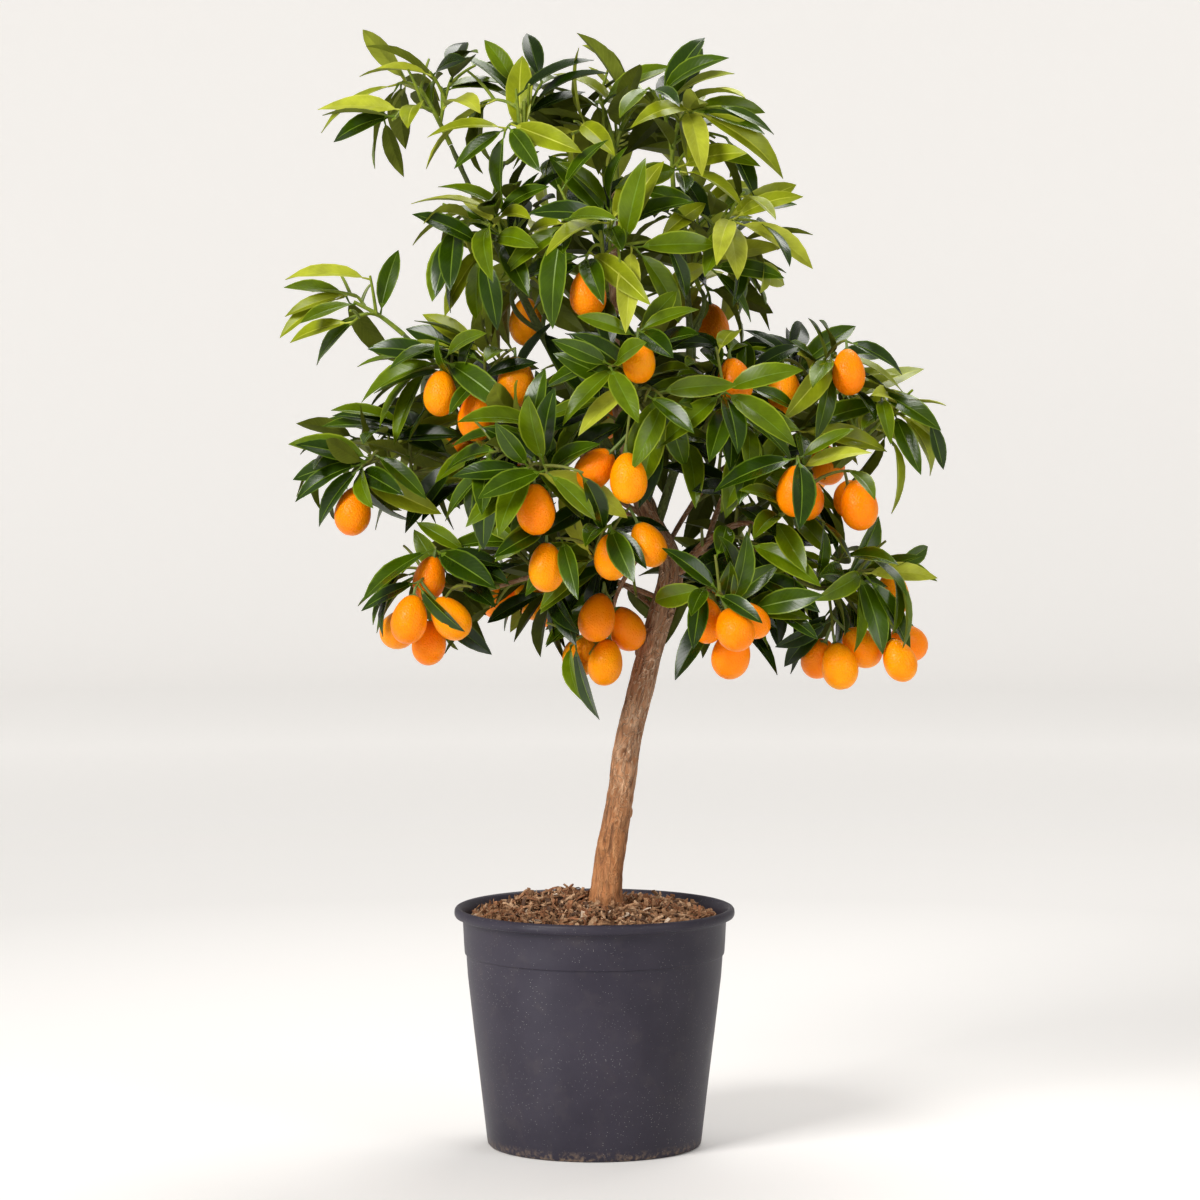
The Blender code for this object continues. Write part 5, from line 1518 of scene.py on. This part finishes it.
def in_painted_shade_zone(mass, leaf):
    """True for a leaf on the side of its mass towards the middle of the crown, where most leaves take a
    darker tint as painted shade.
    """
    middle = leaf.foot + leaf.along * leaf.length * 0.5
    away = math.hypot(middle.x - CROWN_AXIS[0], middle.y - CROWN_AXIS[1])
    centre_away = math.hypot(mass.centre[0] - CROWN_AXIS[0], mass.centre[1] - CROWN_AXIS[1])
    return away < centre_away - 0.1 * min(mass.reach)


def leaf_slots(tint):
    """The slots of a leaf's upper face, underside and rib."""
    if tint in ("fresh leaf", "young leaf"):
        return [SLOT[tint], SLOT["under young leaf"], SLOT["young rib"]]
    if tint == "inner leaf":
        return [SLOT[tint], SLOT["under inner leaf"], SLOT["inner rib"]]
    return [SLOT[tint], SLOT["under leaf"], SLOT["leaf rib"]]


def leaf_copies(masses):
    """The blade and stalk copies of every leaf of some masses, with their slots."""
    copies = []
    for grown, (_, more) in zip(crown, fine):
        if grown.mass.name not in masses:
            continue
        for number, (leaf, spray) in enumerate(grown.leaves + more):
            draw = random.Random(f"{grown.mass.name} leaf {number}")
            spray_draw = random.Random(f"{grown.mass.name} tint {spray}")
            tint = draw_tint(spray_draw if draw.random() < SPRAY_SHARE else draw, leaf.young)
            # Most leaves on the crown's inner side take a darker tint instead, as painted shade. Young ones
            # take mid green.
            if in_painted_shade_zone(grown.mass, leaf) and draw.random() < PAINTED_SHADE_SHARE:
                tint = "mid leaf" if leaf.young else "inner leaf"
            slots = leaf_slots(tint)
            laid = lay_within(leaf, f"{grown.mass.name} lie {number}",
                              MOST_TURN.get(grown.mass.name, LITTLE_TURN))
            if laid:
                copies += [(blade, laid[0], slots), (stalk_tube, laid[1], slots[2:])]
    return copies


# %% Leaves of the whole crown, in three pieces
LEFT = [mass.name for mass in MASSES if mass.name not in TOP and mass.centre[0] < 0.02]
RIGHT = [mass.name for mass in MASSES if mass.name not in TOP and mass.centre[0] >= 0.02]
for name, members in (("leaves_top", TOP), ("leaves_left", LEFT), ("leaves_right", RIGHT)):
    piece = join_copies(name, leaf_copies(members), leaf_materials, 14)
    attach(piece, "root")
    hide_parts(*members)

# %% [markdown]
# ## Fruit
#
# A kumquat is a smooth oval with shallow oil pits, a small dimple at its tip, and a green five-lobed cap
# where its stalk joins. It starts as a sphere whose rings are scaled in edit mode to the fruit's profile.
# The cap is a disc whose every other corner is drawn in, thickened and laid over the top.

# %% Model the fruit: a unit long, hanging down from z = 0
egg = add_primitive("egg", bpy.ops.mesh.primitive_uv_sphere_add, segments=22, ring_count=16, radius=0.5)
heights = sorted({round(vert.co.z, 4) for vert in egg.data.vertices})
for height in heights:
    down = 0.5 - height
    ball = math.sqrt(max(1e-9, 0.25 - height * height))
    full = ball * (1 + 0.10 * math.sin(math.pi * (down - 0.45)))
    pick(egg, "VERT", lambda vert: abs(vert.co.z - height) < 2e-4)
    share = full / ball if 0.0 < down < 1.0 else 1.0
    bpy.ops.transform.resize(value=(share, share, 1), center_override=(0, 0, height))
    bpy.ops.object.mode_set(mode="OBJECT")
pick(egg, "VERT", lambda vert: vert.co.z < -0.499 or vert.co.z > 0.499)
bpy.ops.transform.resize(value=(1, 1, 0.955), center_override=(0, 0, 0))
done()
for vert in egg.data.vertices:
    vert.co.z -= 0.5
peel_shape = read_template(egg)

cap = add_primitive("cap", bpy.ops.mesh.primitive_circle_add, vertices=10, radius=1, fill_type="NGON")
pick(cap, "VERT", lambda vert: round(math.atan2(vert.co.y, vert.co.x) / math.pi * 5) % 2 == 0)
bpy.ops.transform.resize(value=(0.55, 0.55, 1), center_override=(0, 0, 0))
bpy.ops.mesh.select_all(action="SELECT")
bpy.ops.mesh.extrude_region_move(TRANSFORM_OT_translate={"value": (0, 0, 0.30)})
bpy.ops.transform.resize(value=(0.45, 0.45, 1), center_override=(0, 0, 0.30))
bpy.ops.mesh.select_all(action="SELECT")
bpy.ops.mesh.normals_make_consistent(inside=False)
done()
cap_shape = read_template(cap)
print("fruit faces:", len(peel_shape.faces), "cap faces:", len(cap_shape.faces))

# %% Fruit finishes
CAP_RADIUS = 0.0046
RIPE_SHARE = 0.6


def peel_finish(name, colour, light):
    """Peel: a clear orange, lighter in patches, with fine round pits."""
    material, tree, shader = patchy_finish(name, colour, light, 0.30, {"Scale": 48.0, "High": 0.75},
                                           Specular_IOR_Level=0.15, Subsurface_Weight=0.25,
                                           Subsurface_Scale=0.006, Subsurface_Radius=(1.0, 0.35, 0.05))
    bump_from(tree, shader, place_group(tree, pits, Scale=560.0, Edge=0.6), 0.55, 0.0006)
    return material


fruit_materials = [peel_finish("ripe peel", (1.0, 0.228, 0.0), (1.0, 0.285, 0.0)),
                   peel_finish("light peel", (1.0, 0.275, 0.0), (1.0, 0.36, 0.0)),
                   new_finish("fruit cap", (0.13, 0.19, 0.035), 0.55)[0]]
RIPE, LIGHT, CAP = range(3)

# %% Fruit of the whole crown, each with its cap and stalk
fruit_stalk_tube = tube_template(6, 4)
copies = []
for grown in crown:
    for number, fruit in enumerate(grown.fruits):
        draw = random.Random(f"{grown.mass.name} fruit look {number}")
        axis = np.array(fruit.axis)
        side = np.array(square_to(fruit.axis, draw.uniform(0, 6.28)))
        across = np.cross(axis, side)
        top = np.array(fruit.foot) + axis * fruit.stalk
        points = peel_shape.points
        width = 2 * fruit.width
        places = top + np.outer(points[:, 0] * width, side) + np.outer(points[:, 1] * width, across) \
            - np.outer(points[:, 2] * fruit.length, axis)
        copies.append((peel_shape, places, [RIPE if draw.random() < RIPE_SHARE else LIGHT]))
        points = cap_shape.points * CAP_RADIUS
        places = top + np.outer(points[:, 0], side) + np.outer(points[:, 1], across) \
            - np.outer(points[:, 2] - 0.0009, axis)
        copies.append((cap_shape, places, [CAP]))
        foot, head = fruit.foot, Vector(top + axis * 0.001)
        line = bend_points(foot, foot.lerp(head, 0.5) + Vector(side) * 0.0008, head, 4)
        stalk = Limb("stalk", line, taper(0.0012, 0.0015, 4))
        copies.append((fruit_stalk_tube, lay_tube(fruit_stalk_tube, stalk)[0], [CAP]))
fruit_piece = join_copies("fruit", copies, fruit_materials, 50)
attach(fruit_piece, "root")

# %% [markdown]
# ## The pot
#
# A nursery pot is thin moulded plastic: a tapering wall, a faint collar line, and a lip rolled over for
# strength. A lathe shape suits it, so a ring of vertices is extruded up the outside, over the lip, down the
# inside and across the floor, one extrusion for each point of its profile.

# %% Turn a ring along a profile
def turned(name, profile, sides):
    """Extrudes a ring along (radius, height) points. Ends at the axis are closed to a point."""
    points = [(max(radius, 2e-4), height) for radius, height in profile]
    made = add_primitive(name, bpy.ops.mesh.primitive_circle_add, vertices=sides, radius=points[0][0])
    bpy.ops.object.mode_set(mode="EDIT")
    bpy.ops.mesh.select_all(action="SELECT")
    bpy.ops.transform.translate(value=(0, 0, points[0][1]))
    for (radius, height), (next_radius, next_height) in zip(points, points[1:]):
        bpy.ops.mesh.extrude_edges_move(TRANSFORM_OT_translate={"value": (0, 0, next_height - height)})
        scale = next_radius / radius
        bpy.ops.transform.resize(value=(scale, scale, 1), center_override=(0, 0, next_height))
    bpy.ops.mesh.select_all(action="SELECT")
    bpy.ops.mesh.remove_doubles(threshold=4e-5)
    bpy.ops.mesh.normals_make_consistent(inside=False)
    done()
    return made


POT_PROFILE = (
    (0.0, 0.0), (0.060, 0.0), (0.0885, 0.0), (0.0905, 0.0006), (0.0916, 0.0020), (0.0921, 0.0045),
    (0.0973, 0.050), (0.1033, 0.100), (0.1085, 0.146), (0.1097, 0.1630), (0.1100, 0.1646),
    (0.1110, 0.1654), (0.1113, 0.1668), (0.1118, 0.1740), (0.1128, 0.1940), (0.1131, 0.1950),
    (0.1145, 0.1966), (0.1175, 0.1965), (0.1190, 0.1970), (0.1198, 0.1984), (0.1200, 0.2005),
    (0.1197, 0.2028), (0.1187, 0.2043), (0.1172, 0.2050), (0.1157, 0.2047), (0.1145, 0.2038),
    (0.1132, 0.2015), (0.1118, 0.1975), (0.1108, 0.1930), (0.1097, 0.1745), (0.1079, 0.1545),
    (0.0903, 0.0034), (0.060, 0.0030), (0.0, 0.0030),
)
DRAINS = 6
DRAIN_CIRCLE = 0.072
DRAIN_RADIUS = 0.005
DRAIN_START = 0.58
UNEVEN = 0.0025

pot = turned("pot_shell", POT_PROFILE, 144)
for index in range(DRAINS):
    angle = DRAIN_START + 2 * math.pi * index / DRAINS
    place = (DRAIN_CIRCLE * math.cos(angle), DRAIN_CIRCLE * math.sin(angle), 0)
    drill = add_primitive("drill", bpy.ops.mesh.primitive_cylinder_add, location=place, vertices=24,
                          radius=DRAIN_RADIUS, depth=0.012)
    apply_modifier(pot, "BOOLEAN", operation="DIFFERENCE", object=drill, solver="EXACT")
    bpy.data.objects.remove(drill)
for vert in pot.data.vertices:
    angle = math.atan2(vert.co.y, vert.co.x)
    uneven = noise.noise(Vector((math.cos(angle) * 1.3, math.sin(angle) * 1.3, vert.co.z * 9)))
    if 0.004 < vert.co.z < 0.19 and math.hypot(vert.co.x, vert.co.y) > 0.085:
        vert.co.x *= 1 + UNEVEN * uneven
        vert.co.y *= 1 + UNEVEN * uneven
smooth_by_angle(pot, 35)

# %% Pot plastic: dark, dusty, scuffed, with soil dried on near the foot
plastic, tree, shader = new_finish("pot plastic", (0.029, 0.0255, 0.036), 0.42, Specular_IOR_Level=0.15)
broad = place_group(tree, mottle, Scale=16.0, Detail=6.0, Low=0.35, High=0.70)
tone = mix_colour(tree, broad, (0.026, 0.0228, 0.033), (0.038, 0.0335, 0.046))
brown = place_group(tree, mottle, Scale=50.0, Detail=8.0, Low=0.55, High=0.90)
tone = mix_colour(tree, brown, tone, (0.048, 0.041, 0.047))
specks = place_group(tree, dust, Scale=420.0, Amount=0.20)
tone = mix_colour(tree, specks, tone, (0.19, 0.175, 0.17))
crumbs = place_group(tree, mottle, Scale=260.0, Detail=8.0, Low=0.46, High=0.66)
dirty = maths(tree, "MULTIPLY", ramp(tree, height_in(tree), 0.010, 0.0), crumbs)
tone = mix_colour(tree, dirty, tone, (0.20, 0.140, 0.095))
tree.links.new(tone, shader.inputs["Base Color"])
tree.links.new(ramp(tree, broad, 0.0, 1.0, 0.38, 0.50), shader.inputs["Roughness"])
grit = place_group(tree, mottle, Scale=900.0, Detail=2.0, Low=0.3, High=0.7)
bump_from(tree, shader, grit, 0.10, 0.0003)
pot.data.materials.append(plastic)
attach(pot, "root")
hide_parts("pot")
print("pot faces:", len(pot.data.polygons))

# %% [markdown]
# ## The soil
#
# The potting mix is bark: curled shreds, flat chips and crumbs, heaped up against the trunk. The bed is a
# turned shape raised by noise, and two and a half thousand bits lie on it, copied from five small shapes.

# %% The bed
SOIL_EDGE = 0.191
SOIL_MIDDLE = 0.2025
SOIL_RADIUS = 0.1102
TRUNK_FOOT = Vector((TRUNK[0][0], TRUNK[0][1], 0.0))
HEAPS = ((0.034, 0.030, (-0.026, 0.020), 0.0105), (0.022, 0.022, (-0.062, 0.004), 0.0045),
         (0.026, 0.024, (0.062, 0.012), 0.0040))


def heap(x, y, across, lengthwise, middle, height):
    return height * math.exp(-((x - middle[0]) / across) ** 2 - ((y - middle[1]) / lengthwise) ** 2)


def soil_height(x, y):
    """The top of the bed: higher in the middle, with a heap at the trunk and a low one on either side."""
    share = min(1.0, math.hypot(x, y) / SOIL_RADIUS)
    base = SOIL_MIDDLE + (SOIL_EDGE - SOIL_MIDDLE) * share ** 1.4
    lumps = 0.0050 * noise.noise(Vector((x * 60, y * 60, 0.0)))
    lumps += 0.0024 * noise.noise(Vector((x * 150, y * 150, 4.0)))
    heaps = sum(heap(x, y, *values) for values in HEAPS)
    return base + (lumps + heaps) * min(1.0, (1 - share) * 9)


rings = [(SOIL_RADIUS * index / 46, SOIL_EDGE) for index in range(46, -1, -1)]
bed = turned("soil_bed", [(0.0, 0.0045), (0.0895, 0.0045), (0.1046, 0.172), (0.1092, 0.176), *rings], 120)
for vert in bed.data.vertices:
    if vert.co.z > SOIL_EDGE - 0.0005:
        vert.co.z = soil_height(vert.co.x, vert.co.y)
bed.data.shade_smooth()


# %% Five small shapes: a fibre, a shred, a chip, a crumb and a splinter
def modelled_bit(made, shape):
    """A small shape whose vertices are moved, one by one, to where shape puts them."""
    for vert in made.data.vertices:
        vert.co = shape(vert.co.copy())
    return read_template(made)


def curled(co):
    """A flat strip rolled into an open curl."""
    angle = co.x * 2.6
    radius = 0.42 + 0.12 * co.x
    return Vector((math.sin(angle) * radius, co.y * 0.20 + co.x * 0.2,
                   (1 - math.cos(angle)) * radius + co.z * 0.08 - 0.3))


def coiled(co):
    """A thin fibre wound into an open loop, lying nearly flat."""
    angle = co.x * 2.3
    radius = 0.50 + 0.18 * co.x + co.y * 0.07
    return Vector((math.sin(angle) * radius, (1 - math.cos(angle)) * radius - 0.5,
                   co.z * 0.08 + 0.22 * co.x))


def strip():
    """A bar cut across into seven."""
    made = add_primitive("strip", bpy.ops.mesh.primitive_cube_add, size=2)
    pick(made, "EDGE", lambda edge: abs(made.data.vertices[edge.vertices[0]].co.x
                                        - made.data.vertices[edge.vertices[1]].co.x) > 0.5)
    bpy.ops.mesh.subdivide(number_cuts=6)
    done()
    return made


def bent(co):
    """A chip that cups a little and narrows to one end."""
    return Vector((co.x, co.y * 0.5 * (1 - 0.3 * co.x), co.z * 0.10 + 0.22 * co.x * co.x + 0.12 * co.y))


def lumpy(co):
    """A crumb with hollows."""
    return co * (1 + 0.45 * noise.noise(co * 1.7)) * 0.8


def slim(co):
    """A splinter, pointed at both ends."""
    return Vector((co.x, co.y * 0.14 * (1.1 - abs(co.x)), co.z * 0.10 + 0.15 * math.sin(co.x * 2.4)))


BITS = {
    "fibre": (modelled_bit(strip(), coiled), (0.0048, 0.0115), 0.38),
    "shred": (modelled_bit(strip(), curled), (0.0045, 0.0100), 0.26),
    "chip": (modelled_bit(strip(), bent), (0.0025, 0.0055), 0.08),
    "crumb": (modelled_bit(add_primitive("ball", bpy.ops.mesh.primitive_ico_sphere_add, subdivisions=2,
                                         radius=1), lumpy), (0.0010, 0.0026), 0.14),
    "splinter": (modelled_bit(strip(), slim), (0.0045, 0.0105), 0.16),
}
BIT_COUNT = 2500
BARE_ROUND_TRUNK = 0.0175
BIT_TINTS = 5

# %% Scatter the bits
draw = random.Random("soil bits")
copies = []
while len(copies) < BIT_COUNT:
    x, y = draw.uniform(-SOIL_RADIUS, SOIL_RADIUS), draw.uniform(-SOIL_RADIUS, SOIL_RADIUS)
    left = draw.random()
    for shape, size_range, share in BITS.values():
        left -= share
        if left < 0:
            break
    size = draw.uniform(*size_range)
    from_trunk = math.hypot(x - TRUNK_FOOT.x, y - TRUNK_FOOT.y)
    if math.hypot(x, y) > SOIL_RADIUS - size * 0.9 or from_trunk < BARE_ROUND_TRUNK:
        continue
    turn = Matrix.Rotation(draw.uniform(0, 6.28), 3, "Z") @ Matrix.Rotation(draw.gauss(0, 0.3), 3, "Y") \
        @ Matrix.Rotation(draw.gauss(0, 0.4), 3, "X")
    stretch = np.array([draw.uniform(0.8, 1.3), draw.uniform(0.7, 1.2), draw.uniform(0.7, 1.2)])
    points = (shape.points * stretch * size) @ np.array(turn).T
    layer = draw.random() ** 2 * 0.0045
    place = np.array([x, y, soil_height(x, y) + size * 0.22 + layer])
    copies.append((shape, points + place, [min(BIT_TINTS - 1, int(abs(draw.gauss(0, 1.9))))]))


# %% Finishes of the soil and its bits
def bit_finish(name, colour, darker):
    material, tree, shader = patchy_finish(name, colour, darker, 0.9, {"Scale": 420.0, "Detail": 4.0})
    bump_from(tree, shader, place_group(tree, mottle, Scale=1300.0, Detail=3.0), 0.5, 0.0004)
    return material


bit_materials = [bit_finish("brown shreds", (0.380, 0.205, 0.100), (0.190, 0.088, 0.038)),
                 bit_finish("red shreds", (0.330, 0.140, 0.058), (0.160, 0.060, 0.023)),
                 bit_finish("tan shreds", (0.560, 0.355, 0.205), (0.340, 0.190, 0.098)),
                 bit_finish("dark bits", (0.130, 0.062, 0.030), (0.050, 0.024, 0.012)),
                 bit_finish("pale bits", (0.760, 0.620, 0.480), (0.520, 0.380, 0.260))]
soil_bits = join_copies("soil_bits", copies, bit_materials, 50)
# The bed's dark brown is partly the fine mix's own colour and partly painted shade for the gaps between the
# bits.
bed.data.materials.append(bit_finish("soil", (0.110, 0.052, 0.025), (0.040, 0.020, 0.011)))
for piece in (bed, soil_bits):
    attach(piece, "root")
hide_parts("soil")
